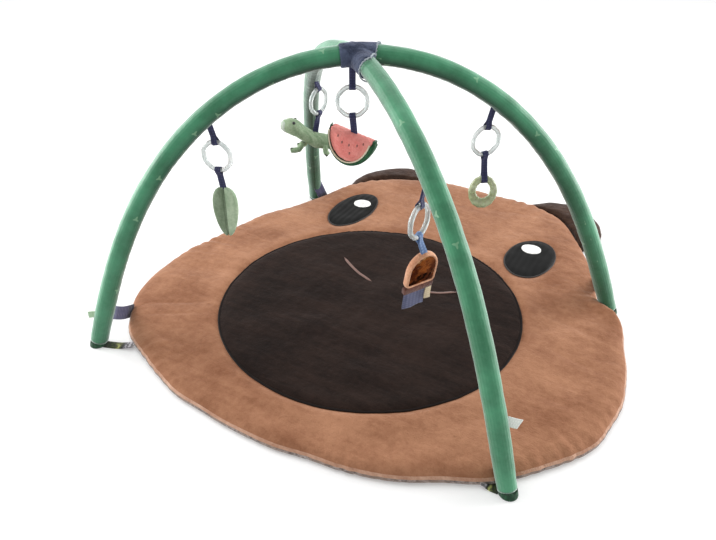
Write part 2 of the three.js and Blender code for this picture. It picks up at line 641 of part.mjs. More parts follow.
// A webbing strip between two heights, with a roll round the ring or bar at an end that has one.
function webbing(low, high, barLow, barHigh) {
  let solid = toSolid(block(WEBBING.wide, WEBBING.thick, high - low, 0, 0, (high + low) / 2));
  for (const [at, bar] of [[low, barLow], [high, barHigh]]) {
    if (bar > 0) {
      const radius = bar + WEBBING.wrap;
      const roll = new THREE.CylinderGeometry(radius, radius, WEBBING.wide, WEBBING.wrapSides);
      solid = solid.add(toSolid(roll.rotateZ(Math.PI / 2).translate(0, 0, at)));
    }
  }
  return solid;
}

// Where a chain hangs: the crossing, or the point of its leg's path that is the given share out.
function hangPoint(chain) {
  if (chain.leg === 'hub') return new THREE.Vector3(0, 0, HUB.high);
  const leg = LEGS.find(({ name }) => name === chain.leg);
  const want = outOfHub(leg) * chain.share;
  return paths[chain.leg].find((p) => outOfHub(p) >= want);
}

// The upper loop, from the sleeve or the hub down round the ring.
function upperLoop(chain, hang, ringX, ringY, tubeTop, clearRing) {
  const carrier = chain.leg === 'hub' ? hubCover.add(hubBall(HUB.ball + GAP)) : sleeveClear[chain.leg];
  const band = webbing(0, hang.z - tubeTop, LINK.tube, 0);
  const whole = turned(band, { turn: chain.turn }, ringX, ringY, tubeTop);
  return biggest(whole.subtract(clearRing).subtract(carrier));
}

// The lower loop, from the ring down into the toy, sheared where the toy hangs off the ring's plumb line.
function lowerLoop(chain, ringX, ringY, tubeLow, shift, cutters) {
  const isRing = chain.toy === 'teether';
  const low = chain.toyTop - (isRing ? TEETHER.tube : WEBBING.tuck);
  const upright = webbing(low - tubeLow, 0, isRing ? TEETHER.tube : 0, LINK.tube);
  const whole = turned(upright, { turn: chain.turn }, ringX, ringY, tubeLow).warp((v) => {
    const share = Math.min(1, Math.max(0, (tubeLow - v[2]) / (tubeLow - low)));
    v[0] += shift.x * share;
    v[1] += shift.y * share;
  });
  return biggest(cutters.reduce((solid, cutter) => solid.subtract(cutter), whole));
}

function addChain(chain) {
  const { build, size, colours } = TOYS[chain.toy];
  const hang = hangPoint(chain);
  const ringX = hang.x + DRIFT.x * chain.ringDrift;
  const ringY = hang.y + DRIFT.y * chain.ringDrift;
  const toyX = hang.x + DRIFT.x * chain.toyDrift;
  const toyY = hang.y + DRIFT.y * chain.toyDrift;
  const tubeTop = chain.ringTop - LINK.tube;
  const tubeLow = tubeTop - 2 * LINK.radius;
  const ring = (room) => torus(LINK.radius, LINK.tube + room).rotateZ(radians(chain.turn))
    .translate(ringX, ringY, tubeTop - LINK.radius);
  const clearRing = toSolid(ring(ROOM));
  add(`link_${chain.toy}`, ring(0), COLOURS.clear, 0.15);
  const upper = upperLoop(chain, hang, ringX, ringY, tubeTop, clearRing);
  add(`loop_${chain.toy}`, toGeometry(upper), COLOURS.navy);

  const hung = (solid) => turned(solid, size, toyX, toyY, chain.toyTop);
  const toySolids = Object.entries(build()).map(([name, solid]) => [name, hung(solid)]);
  const toyCutters = chain.toy === 'teether' ? [hung(teetherRing(ROOM))]
    : toySolids.map(([, solid]) => grown(solid));
  const shift = { x: toyX - ringX, y: toyY - ringY };
  const lower = lowerLoop(chain, ringX, ringY, tubeLow, shift, [clearRing, ...toyCutters]);
  add(`toy_loop_${chain.toy}`, toGeometry(lower), COLOURS.navy);
  toySolids.forEach(([name, solid], i) => add(name, toGeometry(solid), colours[i]));
}

CHAINS.forEach(addChain);

export default group;
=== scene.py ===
import math

import bmesh
import bpy
import numpy as np
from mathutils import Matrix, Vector
from mathutils.bvhtree import BVHTree


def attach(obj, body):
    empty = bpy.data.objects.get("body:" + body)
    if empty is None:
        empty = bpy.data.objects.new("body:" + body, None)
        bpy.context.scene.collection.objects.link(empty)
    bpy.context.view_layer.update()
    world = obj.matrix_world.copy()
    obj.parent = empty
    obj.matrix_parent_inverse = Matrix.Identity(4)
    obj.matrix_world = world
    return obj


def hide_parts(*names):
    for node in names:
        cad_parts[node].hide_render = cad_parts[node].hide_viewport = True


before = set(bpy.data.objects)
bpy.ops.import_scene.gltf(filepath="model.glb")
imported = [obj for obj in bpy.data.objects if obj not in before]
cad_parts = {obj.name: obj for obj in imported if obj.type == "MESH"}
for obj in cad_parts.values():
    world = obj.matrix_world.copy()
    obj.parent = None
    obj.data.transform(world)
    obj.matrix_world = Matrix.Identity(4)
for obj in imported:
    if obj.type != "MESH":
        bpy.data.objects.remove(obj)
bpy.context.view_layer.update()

# Sizes and places are in millimetres, as the real object measures; meshes are made in metres.
MM = 0.001
UP = np.array([0.0, 0.0, 1.0])
rng = np.random.default_rng(11)

# Camera: the photograph's place and direction, and its lens on a 36 mm wide sensor.
CAMERA = {"at": (531.7, -940.4, 801.7), "ahead": (-0.4127, 0.7261, -0.55), "lens": 36.2}
# Lamps: name, place in metres, width in metres and power.
LAMPS = (("key", (-0.5, 0.4, 2.4), 2.2, 25), ("side_left", (-2.6, -0.5, 0.7), 1.8, 84),
         ("side_right", (1.9, 1.9, 0.7), 1.8, 84))

# The mat.
MAT_MIDDLE = np.array([35.0, 80.0])
MAT_SEAM_HIGH = 9.0
MAT_RISE = 16.4
MAT_ROUND = 10.0
MAT_STEPS = 720
EDGE_FADE = 34.0
SEAM_FADE = 9.0
# The sewn edge: over how many steps to each side its line is smoothed, how far it stands outside the
# solid's, and where it does more or less, as place, reach and push.
EDGE_SMOOTH = 7
EDGE_OUT = 1.2
EDGE_PUSHES = [(-180, -335, 60, 4), (376, -250, 66, 10), (466, 92, 60, -9), (482, 30, 60, -4)]
# The rows of the edge's underside: how far in from the sewn line, and how high.
UNDER_ROWS = ((60, 0), (12, 0), (5, 0.1), (2, 1), (0.6, 2.4), (-0.3, 4.2), (-0.8, 6), (-0.7, 7.6))
# Where the right leg's ties lift the edge: place, reach and height.
LIP = (420, 202, 40, 17)
# Soft troughs in the padding and narrow creases in the plush: middle, direction in degrees, half
# length, half width and depth.
CREASES = [
    (-300, -170, 28, 130, 26, 3.2), (-330, -60, 12, 100, 24, 2.4), (60, -322, 8, 150, 22, 3.0),
    (210, -285, 40, 90, 20, 2.6), (-150, -300, -24, 100, 20, 2.4), (400, -20, 75, 140, 26, 3.0),
    (350, 120, 55, 110, 24, 2.8), (-60, 440, 5, 160, 28, 2.4), (20, 120, 20, 170, 30, 2.2),
    (120, -90, -30, 150, 30, 2.0),
    (-290, -172, 30, 70, 5, 1.7), (-268, -200, 31, 78, 5, 1.5), (-225, -258, -2, 75, 7, 1.2),
    (219, -296, 103, 24, 5, 2.2), (299, -266, 108, 20, 5, 2.0), (310, -250, 92, 20, 4.5, 2.0),
    (226, -333, 110, 15, 4.5, 1.6), (148, -330, 5, 60, 9, 1.6), (388, 110, -16, 60, 9, 1.7),
    (384, 29, -9, 62, 9, 1.8), (390, -82, 0, 55, 9, 1.8), (350, -171, 12, 40, 7, 1.8),
    (-70, 365, -40, 80, 11, 1.3), (340, 250, -35, 55, 9, 1.6), (-330, 140, 64, 90, 11, 1.3),
    (120, 455, 12, 110, 12, 1.3), (-350, 30, 82, 70, 9, 1.3), (300, -180, 55, 70, 9, 1.3),
]

# Pieces sewn on the mat: middle, half width, half length.
MUZZLE = (26, -8, 274, 270)
EYES = {"left": (-183.5, 297, 44, 82), "right": (228, 293, 48, 73)}
GLINTS = {"left": (-176, 325, 20, 16), "right": (221, 322, 20, 17)}
NOSTRILS = {"left": ((-96, 108), (-8, 62)), "right": ((150, 108), (62, 62))}
# The ears: middle, the direction they stand out in degrees, how far out they start to be longer than
# the solid's, and how much longer.
EARS = {"left": (-172, 473, 140.5, 0, 1.0), "right": (226, 473, 39.5, 30, 1.42)}

# The arches, each leg from the crossing to its foot: foot, height at the crossing, slope at the foot,
# share of the bend near the top, and sideways bow.
LEGS = {
    "left": (-349, -311, 477.8, 71.3, 0.97, -14.3),
    "right": (406, 226, 477.8, 68.7, 1.07, 8.2),
    "front": (386, -266, 472.2, 69.3, 1.1, -14.0),
    "back": (-315, 344, 472.2, 69.3, 1.1, 29.0),
}
LEG_POINTS = 240
SLEEVE = {"radius": 15.5, "start": 30, "end": 6, "rows": 210, "around": 48}
FOOT = {"radius": 13.9, "from": 66}
CAP = {"high": 9, "gathers": 22}
# The hub cover is cut off straight across between its front and right arms: how far out the cut is, and
# the direction it faces in degrees. Its front arm is longer than the others.
HUB = {"reach": 33, "front_reach": 46, "root": 10, "radius": 18.6, "high": 475, "cut": 26.7, "cut_turn": 16,
       "sleeve_start": 13}
STRAP = {"high": 66, "low": 11, "bend": 0.55, "sag": 5, "thick": 1.9, "wide": 24}
RIBBON = {"thick": 1.6, "wide": 17, "high": 7, "floor": 0.9}
# Where each leg's strap and ribbon meet the mat, and for a strap that drops steeply the direction
# in degrees of its width.
TIES = {
    "left": ((-354, -218), (-286, -287), None),
    "right": ((360, 291), (427, 188), None),
    "front": ((366, -243), (348, -268), 36),
    "back": ((-287, 335), (-292, 306), 66),
}

# The toy chains: leg, share of the way out, ring's top, toy's top, ring's turn, and drifts off plumb.
DRIFT = np.array([0.869, 0.494, 0.0])
LINK = {"radius": 23.6, "tube": 3.9}
WEBBING = {"wide": 10.5, "thick": 1.25}
CHAINS = {
    "leaf": ("left", 0.509, 356, 276, 11, 11.5, 16),
    "lizard": ("back", 0.545, 344, 259.5, 85, 7, -1),
    "melon": ("hub", 0, 432, 352, 29.6, -11, -8),
    "teether": ("right", 0.461, 364, 274.5, 51, -12, -8.5),
    "mirror": ("front", 0.507, 343.5, 265.5, 85, -10.5, 0.5),
}
# How each toy hangs, in degrees: turned, leaning sideways, and tipped back.
TOY_TURN = {"leaf": 24, "lizard": 26, "melon": 10, "teether": 29.6, "mirror": 62}
TOY_LEAN = {"melon": 15.5}
TOY_PITCH = {"mirror": 12}
TEETHER = {"radius": 18, "tall": 22.7, "tube": 6, "heavy": 1.55, "gather": 3}
LEAF = {"long": 94, "seam": (2.2, 3.6)}
MELON = {"radius": 41.5, "deep": 55.5, "thick": 26, "rind_left": 2.2, "rind_right": 10, "flesh_left": 1.12}
SEEDS = ((-22, -9), (-12.7, -16.3), (-0.3, -16.5), (12.7, -12.6), (21.5, -7), (4, -30))
SEED_SIZE = (1.3, 0.6, 2.6)
LIZARD_SHOULDER, LIZARD_SNOUT, LIZARD_SWELL = (-36, 0, -4), (-68, 0, 5), (4.5, 20)
MIRROR = {"half_wide": 26, "shoulder": 31, "tall": 60, "thick": 11, "border": 5, "band": 13, "corner": 4}


def linear(colour):
    """A colour as seen, 0 to 255, as the shader's linear values."""
    values = [c / 255 for c in colour]
    return tuple(c / 12.92 if c <= 0.04045 else ((c + 0.055) / 1.055) ** 2.4 for c in values) + (1.0,)


# Materials.
class Finish:
    """A material whose nodes are added by short calls. Colours are given as seen, 0 to 255."""

    def __init__(self, name, **sockets):
        self.material = bpy.data.materials.new(name)
        self.material.use_nodes = True
        self.tree = self.material.node_tree
        self.surface = self.tree.nodes["Principled BSDF"]
        for socket, value in sockets.items():
            self.surface.inputs[socket.replace("_", " ")].default_value = value

    def node(self, kind, attributes=None, **inputs):
        made = self.tree.nodes.new(kind)
        for key, value in (attributes or {}).items():
            setattr(made, key, value)
        for key, value in inputs.items():
            self.feed(made.inputs[key.replace("_", " ")], value)
        return made

    def feed(self, socket, value):
        if isinstance(value, bpy.types.NodeSocket):
            self.tree.links.new(value, socket)
        else:
            socket.default_value = value

    def place(self, scale=(1, 1, 1), turn=0.0, cloth=False):
        """A place on the object in metres, or on the cloth by its own length and width."""
        source = self.node("ShaderNodeTexCoord").outputs["UV" if cloth else "Object"]
        mapping = self.node("ShaderNodeMapping", Vector=source)
        mapping.inputs["Scale"].default_value = scale
        mapping.inputs["Rotation"].default_value = (0, 0, math.radians(turn))
        return mapping.outputs["Vector"]

    def noise(self, place, scale, detail=2.0, rough=0.5):
        made = self.node("ShaderNodeTexNoise", Vector=place, Scale=scale, Detail=detail, Roughness=rough)
        return made.outputs["Fac"]

    def stripes(self, place, axis, scale, **inputs):
        kind = {"bands_direction": axis}
        return self.node("ShaderNodeTexWave", kind, Vector=place, Scale=scale, **inputs).outputs["Fac"]

    def maths(self, operation, a, b=0.0):
        made = self.node("ShaderNodeMath", {"operation": operation})
        self.feed(made.inputs[0], a)
        self.feed(made.inputs[1], b)
        return made.outputs[0]

    def total(self, *terms):
        """The sum of some values, each times its share."""
        result = 0.0
        for value, share in terms:
            result = self.maths("ADD", result, self.maths("MULTIPLY", value, share))
        return result

    def ramp(self, value, low, high):
        """0 below low and 1 above high, smooth between."""
        made = self.node("ShaderNodeMapRange", {"interpolation_type": "SMOOTHSTEP"}, Value=value)
        made.inputs["From Min"].default_value = low
        made.inputs["From Max"].default_value = high
        return made.outputs["Result"]

    def mix(self, share, a, b):
        made = self.node("ShaderNodeMix", {"data_type": "RGBA"})
        for socket, value in ((0, share), (6, a), (7, b)):
            self.feed(made.inputs[socket], linear(value) if isinstance(value, tuple) else value)
        return made.outputs[2]

    def along(self, stops):
        """Colours along a strip, by the share of the way along it."""
        share = self.node("ShaderNodeUVMap", {"uv_map": "share"}).outputs[0]
        way_along = self.node("ShaderNodeSeparateXYZ", Vector=share).outputs["Y"]
        made = self.node("ShaderNodeValToRGB", Fac=way_along)
        made.color_ramp.interpolation = "EASE"
        elements = made.color_ramp.elements
        while len(elements) < len(stops):
            elements.new(0.5)
        for element, (at, colour) in zip(elements, stops):
            element.position = at
            element.color = linear(colour)
        return made.outputs["Color"]

    def bump(self, height, distance, strength=1.0):
        made = self.node("ShaderNodeBump", Height=height, Distance=distance, Strength=strength)
        above = self.surface.inputs["Normal"]
        if above.is_linked:
            self.feed(made.inputs["Normal"], above.links[0].from_socket)
        self.feed(above, made.outputs["Normal"])

    def colour(self, value):
        self.feed(self.surface.inputs["Base Color"], value)
        return self.material


def plush(name, deep, light, brush=28, sheen=0.35, pile=1.0, tint=(1, 1, 1, 1), streaks=0.33):
    """Short velour pile: patches and brush marks where it lies another way, and fine tufts."""
    made = Finish(name, Roughness=0.95, Sheen_Weight=sheen, Sheen_Roughness=0.4, Sheen_Tint=tint,
                  Specular_IOR_Level=0.15)
    at = made.place()
    patches = made.noise(at, 9 * pile, 3, 0.6)
    strokes = made.noise(made.place((7 * pile, 60 * pile, 20), brush), 1.0, 3, 0.6)
    tufts = made.noise(at, 420, 2, 0.7)
    specks = made.noise(at, 95 * pile, 3, 0.65)
    share = made.total((patches, 0.75 - streaks), (strokes, streaks), (specks, 0.25), (tufts, 0.12))
    made.bump(specks, 0.0016)
    made.bump(strokes, 0.0014, 0.7)
    made.bump(tufts, 0.0006)
    return made.colour(made.mix(made.ramp(share, 0.36, 0.76), deep, light))


def woven(name, base, other, count=1500, cloth=True):
    """A plain weave with a slightly uneven colour. count is threads a metre."""
    made = Finish(name, Roughness=0.8, Sheen_Weight=0.15, Specular_IOR_Level=0.3)
    at = made.place(cloth=cloth)
    weave = made.maths("MULTIPLY", made.stripes(at, "X", count / 20), made.stripes(at, "Y", count / 20))
    uneven = made.noise(made.place(), 120, 3, 0.6)
    made.bump(weave, 0.0004)
    return made.colour(made.mix(made.total((weave, 0.5), (uneven, 0.6)), base, other))


def stitched(name, base, other, run=700, cloth=True, gloss=0.4, sheen=0.3):
    """Satin stitches side by side across a piece, by its own cloth coordinates or straight over it."""
    made = Finish(name, Roughness=0.5, Sheen_Weight=sheen, Specular_IOR_Level=gloss)
    threads = made.stripes(made.place(cloth=cloth), "X", run / 20, Distortion=1.2, Detail=1.0)
    uneven = made.noise(made.place(), 60, 3, 0.6)
    made.bump(threads, 0.0005)
    return made.colour(made.mix(made.total((threads, 0.45), (uneven, 0.55)), base, other))


def clear_plastic(name, deep, light, depth, rough):
    """Moulded see-through plastic, a little uneven inside."""
    made = Finish(name, Roughness=rough, IOR=1.46, Transmission_Weight=depth, Specular_IOR_Level=0.5)
    flow = made.noise(made.place(), 55, 2, 0.5)
    made.bump(flow, 0.0006, 0.5)
    return made.colour(made.mix(made.ramp(flow, 0.3, 0.7), deep, light))


def sprigs(made):
    """Where small three-leaved sprigs lie, scattered one to a cell of the cloth, some cells left bare."""
    cell = 0.046
    at = made.place((1 / cell, 1 / cell, 1), cloth=True)
    cells = made.node("ShaderNodeTexVoronoi", {"voronoi_dimensions": "2D"}, Vector=at, Scale=1.0,
                      Randomness=0.75)
    away = made.node("ShaderNodeVectorMath", {"operation": "SUBTRACT"})
    made.feed(away.inputs[0], at)
    made.feed(away.inputs[1], cells.outputs["Position"])
    chance = made.node("ShaderNodeSeparateColor", Color=cells.outputs["Color"])
    turned = made.node("ShaderNodeVectorRotate", {"rotation_type": "Z_AXIS"}, Vector=away.outputs[0],
                       Angle=made.maths("MULTIPLY", chance.outputs["Red"], 2 * math.pi))
    parts = made.node("ShaderNodeSeparateXYZ", Vector=turned.outputs[0])
    leaves = 0.0
    for lean, shift in ((0.0, 0.0), (0.9, 0.07), (-0.9, 0.07)):
        x = made.maths("SUBTRACT", parts.outputs["X"], shift)
        along = made.total((x, math.cos(lean)), (parts.outputs["Y"], math.sin(lean)))
        across = made.total((parts.outputs["Y"], math.cos(lean)), (x, -math.sin(lean)))
        long = made.maths("DIVIDE", made.maths("SUBTRACT", along, 0.055), 0.085)
        wide = made.maths("DIVIDE", across, 0.035)
        size = made.maths("ADD", made.maths("POWER", made.maths("ABSOLUTE", long), 2.0),
                          made.maths("POWER", made.maths("ABSOLUTE", wide), 1.3))
        leaves = made.maths("MAXIMUM", leaves, made.maths("SUBTRACT", 1.0, made.ramp(size, 0.75, 1.15)))
    return made.maths("MULTIPLY", leaves, made.ramp(chance.outputs["Green"], 0.36, 0.4))


def sleeve_cloth():
    """Smooth green cloth with small pale sprigs scattered over it, a strong pale sheen, and painted shade
    where it faces down.
    """
    made = Finish("green_sleeve", Roughness=0.5, Sheen_Weight=1.0, Sheen_Roughness=0.4,
                  Sheen_Tint=(0.88, 1.0, 0.94, 1), Specular_IOR_Level=0.4)
    uneven = made.noise(made.place(), 14, 3, 0.6)
    fine = made.noise(made.place(), 160, 3, 0.6)
    ground = made.mix(made.ramp(uneven, 0.35, 0.7), (34, 106, 70), (64, 144, 104))
    ground = made.mix(made.maths("MULTIPLY", fine, 0.35), ground, (96, 168, 128))
    # Painted shade: the green is darkened where the cloth faces down, towards the floor.
    normal = made.node("ShaderNodeSeparateXYZ", Vector=made.node("ShaderNodeNewGeometry").outputs["Normal"])
    ground = made.mix(made.ramp(normal.outputs["Z"], -0.8, 0.4), (18, 52, 38), ground)
    made.bump(fine, 0.0006)
    made.bump(made.stripes(made.place(cloth=True), "X", 70), 0.00012)
    return made.colour(made.mix(made.maths("MULTIPLY", sprigs(made), 0.4), ground, (160, 204, 164)))


def under_cloth():
    """The plain underside: grey-mauve cloth with dark flecks."""
    made = Finish("under_cloth", Roughness=0.9, Sheen_Weight=0.2)
    flecks = made.noise(made.place((1, 1, 1.6)), 150, 3, 0.7)
    broad = made.noise(made.place(), 26, 2, 0.5)
    tone = made.mix(made.ramp(flecks, 0.38, 0.62), (84, 74, 70), (170, 156, 150))
    made.bump(flecks, 0.0008)
    return made.colour(made.mix(made.ramp(broad, 0.35, 0.7), tone, (140, 118, 104)))


def strap_cloth(name):
    """Navy webbing with painted shade, near black, where it goes under the mat's edge, and a painted
    highlight on the hem's fold near its start.
    """
    made = Finish(name, Roughness=0.75, Sheen_Weight=0.3)
    at = made.place(cloth=True)
    made.bump(made.maths("MULTIPLY", made.stripes(at, "X", 45), made.stripes(at, "Y", 60)), 0.0006)
    # Painted highlight: paler grey-blue near the start, on the hem's fold. Painted shade: near black
    # towards the end, under the mat's edge.
    colours = made.along([(0.0, (74, 82, 110)), (0.22, (98, 104, 134)), (0.34, (52, 52, 88)),
                          (0.7, (42, 40, 74)), (0.84, (14, 14, 22)), (1.0, (12, 12, 18))])
    uneven = made.noise(made.place(), 160, 3, 0.6)
    return made.colour(made.mix(made.maths("MULTIPLY", uneven, 0.35), colours, (96, 98, 130)))


def ribbon_cloth(name):
    """Dark patterned ribbon with a pale spot, paler at the mat."""
    made = Finish(name, Roughness=0.75, Sheen_Weight=0.25)
    checks = made.node("ShaderNodeTexVoronoi", {"voronoi_dimensions": "2D"}, Vector=made.place(cloth=True),
                       Scale=190.0)
    tone = made.ramp(checks.outputs["Distance"], 0.25, 0.5)
    base = made.along([(0.0, (22, 34, 22)), (0.3, (70, 84, 40)), (0.5, (186, 190, 112)),
                       (0.62, (40, 42, 30)), (0.72, (176, 172, 180)), (1.0, (206, 200, 204))])
    made.bump(made.noise(made.place(), 700), 0.0004)
    return made.colour(made.mix(made.maths("MULTIPLY", tone, 0.75), base, (26, 28, 24)))


def bead_black():
    made = Finish("bead_black", Roughness=0.12, Specular_IOR_Level=0.6)
    return made.colour(made.mix(made.noise(made.place(), 300), (8, 8, 9), (20, 20, 22)))


def mirror_sheet():
    """A thin mirror film, slightly wavy, with a painted reflection: mottled brown and orange, as of the mat
    it faces.
    """
    made = Finish("mirror_sheet", Metallic=1.0, Roughness=0.16)
    # Painted reflection: the film's metal colour is the mottled brown and orange of the mat it reflects.
    reflection_mottle = made.noise(made.place(), 70, 3, 0.6)
    made.bump(made.noise(made.place(), 38, 2, 0.5), 0.006)
    return made.colour(made.mix(made.ramp(reflection_mottle, 0.4, 0.72), (92, 58, 44), (190, 146, 92)))


CLOTHS = {
    "brown": plush("brown_plush", (130, 84, 59), (175, 126, 96), sheen=0.2, tint=(1.0, 0.88, 0.78, 1),
                   streaks=0.2),
    "rim": plush("rim_plush", (168, 122, 98), (214, 174, 150), pile=2.5, tint=(1.0, 0.9, 0.85, 1)),
    "dark": plush("dark_plush", (20, 12, 9), (47, 34, 29), brush=12, sheen=0.05, tint=(0.9, 0.8, 0.8, 1)),
    "ear": plush("ear_plush", (32, 20, 14), (76, 56, 45), brush=50, sheen=0.22, tint=(0.9, 0.8, 0.8, 1)),
    "hub": plush("hub_cloth", (40, 46, 64), (88, 98, 122), brush=40, pile=2.5, tint=(0.8, 0.82, 1.0, 1)),
    "under": under_cloth(),
    "sleeve": sleeve_cloth(),
    "eye": stitched("eye_cloth", (5, 5, 5), (20, 20, 20), 500, cloth=False, gloss=0.12, sheen=0.04),
    "eye_edge": stitched("eye_edge", (18, 12, 10), (46, 36, 32), 900, sheen=0.1),
    "white": stitched("white_stitch", (238, 236, 232), (255, 254, 252)),
    "nostril": stitched("nostril_stitch", (104, 72, 62), (144, 108, 96), 900),
    "panel_edge": stitched("panel_edge", (14, 8, 6), (32, 20, 16), 800, gloss=0.1, sheen=0.02),
    "seed": stitched("seed_stitch", (104, 52, 44), (150, 84, 70)),
    "navy": woven("navy_webbing", (30, 32, 60), (72, 74, 112), 1400),
    "blue": woven("blue_webbing", (66, 92, 140), (130, 156, 190), 1400),
    "cap": woven("cap_cloth", (16, 44, 28), (40, 88, 58), 1000, cloth=False),
    "label": woven("label_cloth", (222, 226, 220), (250, 250, 246), 1600),
    "mint": woven("mint_cloth", (168, 200, 162), (206, 226, 198), 1300),
    "braid": woven("pale_braid", (110, 120, 130), (196, 204, 210), 1800),
    "lavender": woven("lavender_cloth", (72, 78, 108), (120, 126, 156)),
    "cream_tab": woven("cream_cloth", (196, 180, 146), (226, 214, 186)),
    "clear": clear_plastic("clear_plastic", (214, 222, 220), (244, 247, 246), 0.6, 0.1),
    "lime": clear_plastic("lime_plastic", (168, 180, 134), (208, 218, 184), 0.35, 0.18),
    "bead": bead_black(),
    "film": mirror_sheet(),
}
# The toys' velours: darkest and lightest colour, and sheen.
CLOTHS.update({key: plush(name, deep, light, pile=3, sheen=sheen) for key, name, deep, light, sheen in (
    ("leaf_dark", "leaf_dark", (106, 126, 98), (154, 172, 146), 0.3),
    ("leaf_light", "leaf_light", (146, 176, 138), (206, 224, 196), 0.3),
    ("lizard", "lizard_plush", (112, 142, 106), (182, 200, 168), 0.3),
    ("snout", "snout_plush", (146, 160, 144), (202, 212, 200), 0.3),
    ("paw", "paw_plush", (34, 42, 32), (84, 96, 78), 0.2),
    ("flesh", "melon_flesh_plush", (228, 120, 114), (250, 170, 160), 0.25),
    ("rind", "melon_rind_plush", (28, 62, 42), (58, 104, 72), 0.3),
    ("cream", "cream_plush", (206, 196, 166), (236, 228, 204), 0.35),
    ("tan", "tan_plush", (186, 124, 92), (232, 182, 148), 0.3),
    ("brown_band", "brown_band", (66, 40, 34), (122, 84, 74), 0.35),
)})


# Meshes.
def grid(rows, columns):
    """Quads over rows of points closed on themselves, with the row and column of each corner."""
    r, c = np.mgrid[0:rows - 1, 0:columns]
    after = (c + 1) % columns
    here, below = r * columns, (r + 1) * columns
    quads = np.stack([here + c, here + after, below + after, below + c], -1)
    corners = np.stack([np.stack([r, c], -1), np.stack([r, c + 1], -1),
                        np.stack([r + 1, c + 1], -1), np.stack([r + 1, c], -1)], 2)
    return quads.reshape(-1, 4), corners.reshape(-1, 4, 2)


def dressed(obj, cloths, node=None, pick=None):
    """A smooth-shaded piece riding on the part's one body, in place of a node if one is given."""
    mesh = obj.data
    for cloth in cloths:
        mesh.materials.append(CLOTHS[cloth] if isinstance(cloth, str) else cloth)
    if pick is not None:
        mesh.polygons.foreach_set("material_index", np.asarray(pick, np.int32))
    mesh.polygons.foreach_set("use_smooth", np.ones(len(mesh.polygons), bool))
    mesh.update()
    if obj.name not in bpy.context.scene.collection.objects:
        bpy.context.scene.collection.objects.link(obj)
    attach(obj, "root")
    if node:
        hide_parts(node)
    return obj


def skin(name, rows, cloths, node=None, loop=False, size=(1.0, 1.0), pick=None):
    """A closed piece over an array of rows of points. size is the cloth's width and length."""
    rows = np.asarray(rows, float)
    if loop:
        rows = np.concatenate([rows, rows[:1]])
    count, columns = rows.shape[:2]
    quads, corners = grid(count, columns)
    points = rows.reshape(-1, 3)
    if loop:
        points = points[:-columns]
        quads = quads % len(points)
    faces = quads.tolist()
    share = np.stack([corners[..., 1] / columns, corners[..., 0] / (count - 1)], -1).reshape(-1, 2)
    if not loop:
        faces += [list(range(columns))[::-1], [(count - 1) * columns + k for k in range(columns)]]
        share = np.concatenate([share] + [np.tile([0.0, end], (columns, 1)) for end in (0.0, 1.0)])
    mesh = bpy.data.meshes.new(name)
    mesh.from_pydata((points * MM).tolist(), [], faces)
    for layer_name, values in (("cloth", share * size * MM), ("share", share)):
        mesh.uv_layers.new(name=layer_name).data.foreach_set("uv", values.astype(np.float32).ravel())
    if pick is not None:
        pick = np.concatenate([pick(corners[:, 0, 0]), np.zeros(len(faces) - len(quads), int)])
    obj = dressed(bpy.data.objects.new(name, mesh), cloths, node, pick)
    outward = bmesh.new()
    outward.from_mesh(mesh)
    bmesh.ops.recalc_face_normals(outward, faces=outward.faces)
    outward.to_mesh(mesh)
    outward.free()
    return obj


def unit(v):
    return v / np.linalg.norm(v, axis=-1, keepdims=True)


def heading(degrees):
    """A level direction."""
    return np.array([math.cos(math.radians(degrees)), math.sin(math.radians(degrees)), 0.0])


def circle(count):
    """Even turns round a circle, in radians."""
    return np.linspace(0, 2 * math.pi, count, endpoint=False)


def spaced(path, count):
    """The same path with evenly spaced points."""
    path = np.asarray(path, float)
    steps = np.linalg.norm(np.diff(path, axis=0), axis=1)
    run = np.concatenate([[0], np.cumsum(steps)])
    at = np.linspace(0, run[-1], count)
    return np.stack([np.interp(at, run, path[:, k]) for k in range(path.shape[1])], 1)


def length_of(path):
    return float(np.linalg.norm(np.diff(path, axis=0), axis=1).sum())


def spline(p, steps):
    """A smooth line through all but the first and the last two points."""
    t = np.linspace(0, 1, steps, endpoint=False)[:, None]
    return np.concatenate([
        0.5 * (2 * b + (c - a) * t + (2 * a - 5 * b + 4 * c - d) * t ** 2
               + (3 * b - a - 3 * c + d) * t ** 3)
        for a, b, c, d in zip(p, p[1:], p[2:], p[3:])])


def smooth_path(points, count):
    """A smooth line through a few points, evenly spaced."""
    p = np.asarray(points, float)
    p = np.concatenate([[2 * p[0] - p[1]], p, [2 * p[-1] - p[-2]]])
    return spaced(np.concatenate([spline(p, 24), p[-2:-1]]), count)


def swept(path, across, section, closed=False):
    """Rows of a section carried along a path: section gives (side, up) places, by row or for all."""
    ahead = unit(np.roll(path, -1, 0) - np.roll(path, 1, 0) if closed else np.gradient(path, axis=0))
    across = np.broadcast_to(across, path.shape)
    side = unit(across - (across * ahead).sum(1, keepdims=True) * ahead)
    lift = np.cross(side, ahead)
    section = np.broadcast_to(section, (len(path),) + np.shape(section)[-2:])
    return path[:, None] + section[..., :1] * side[:, None] + section[..., 1:] * lift[:, None]


def flat_section(wide, thick):
    """A strip's section with rounded long edges."""
    half, r = wide / 2 - thick / 2, thick / 2
    turns = np.linspace(-math.pi / 2, math.pi / 2, 4)
    right = np.stack([half + r * np.cos(turns), r * np.sin(turns)], 1)
    top = np.stack([np.linspace(half, -half, 6)[1:-1], np.full(4, r)], 1)
    return np.concatenate([right, top, -right, -top])


def oval_section(wide, high, count):
    """An oval section, by its half width and half height."""
    return np.stack([wide * np.cos(circle(count)), high * np.sin(circle(count))], 1)


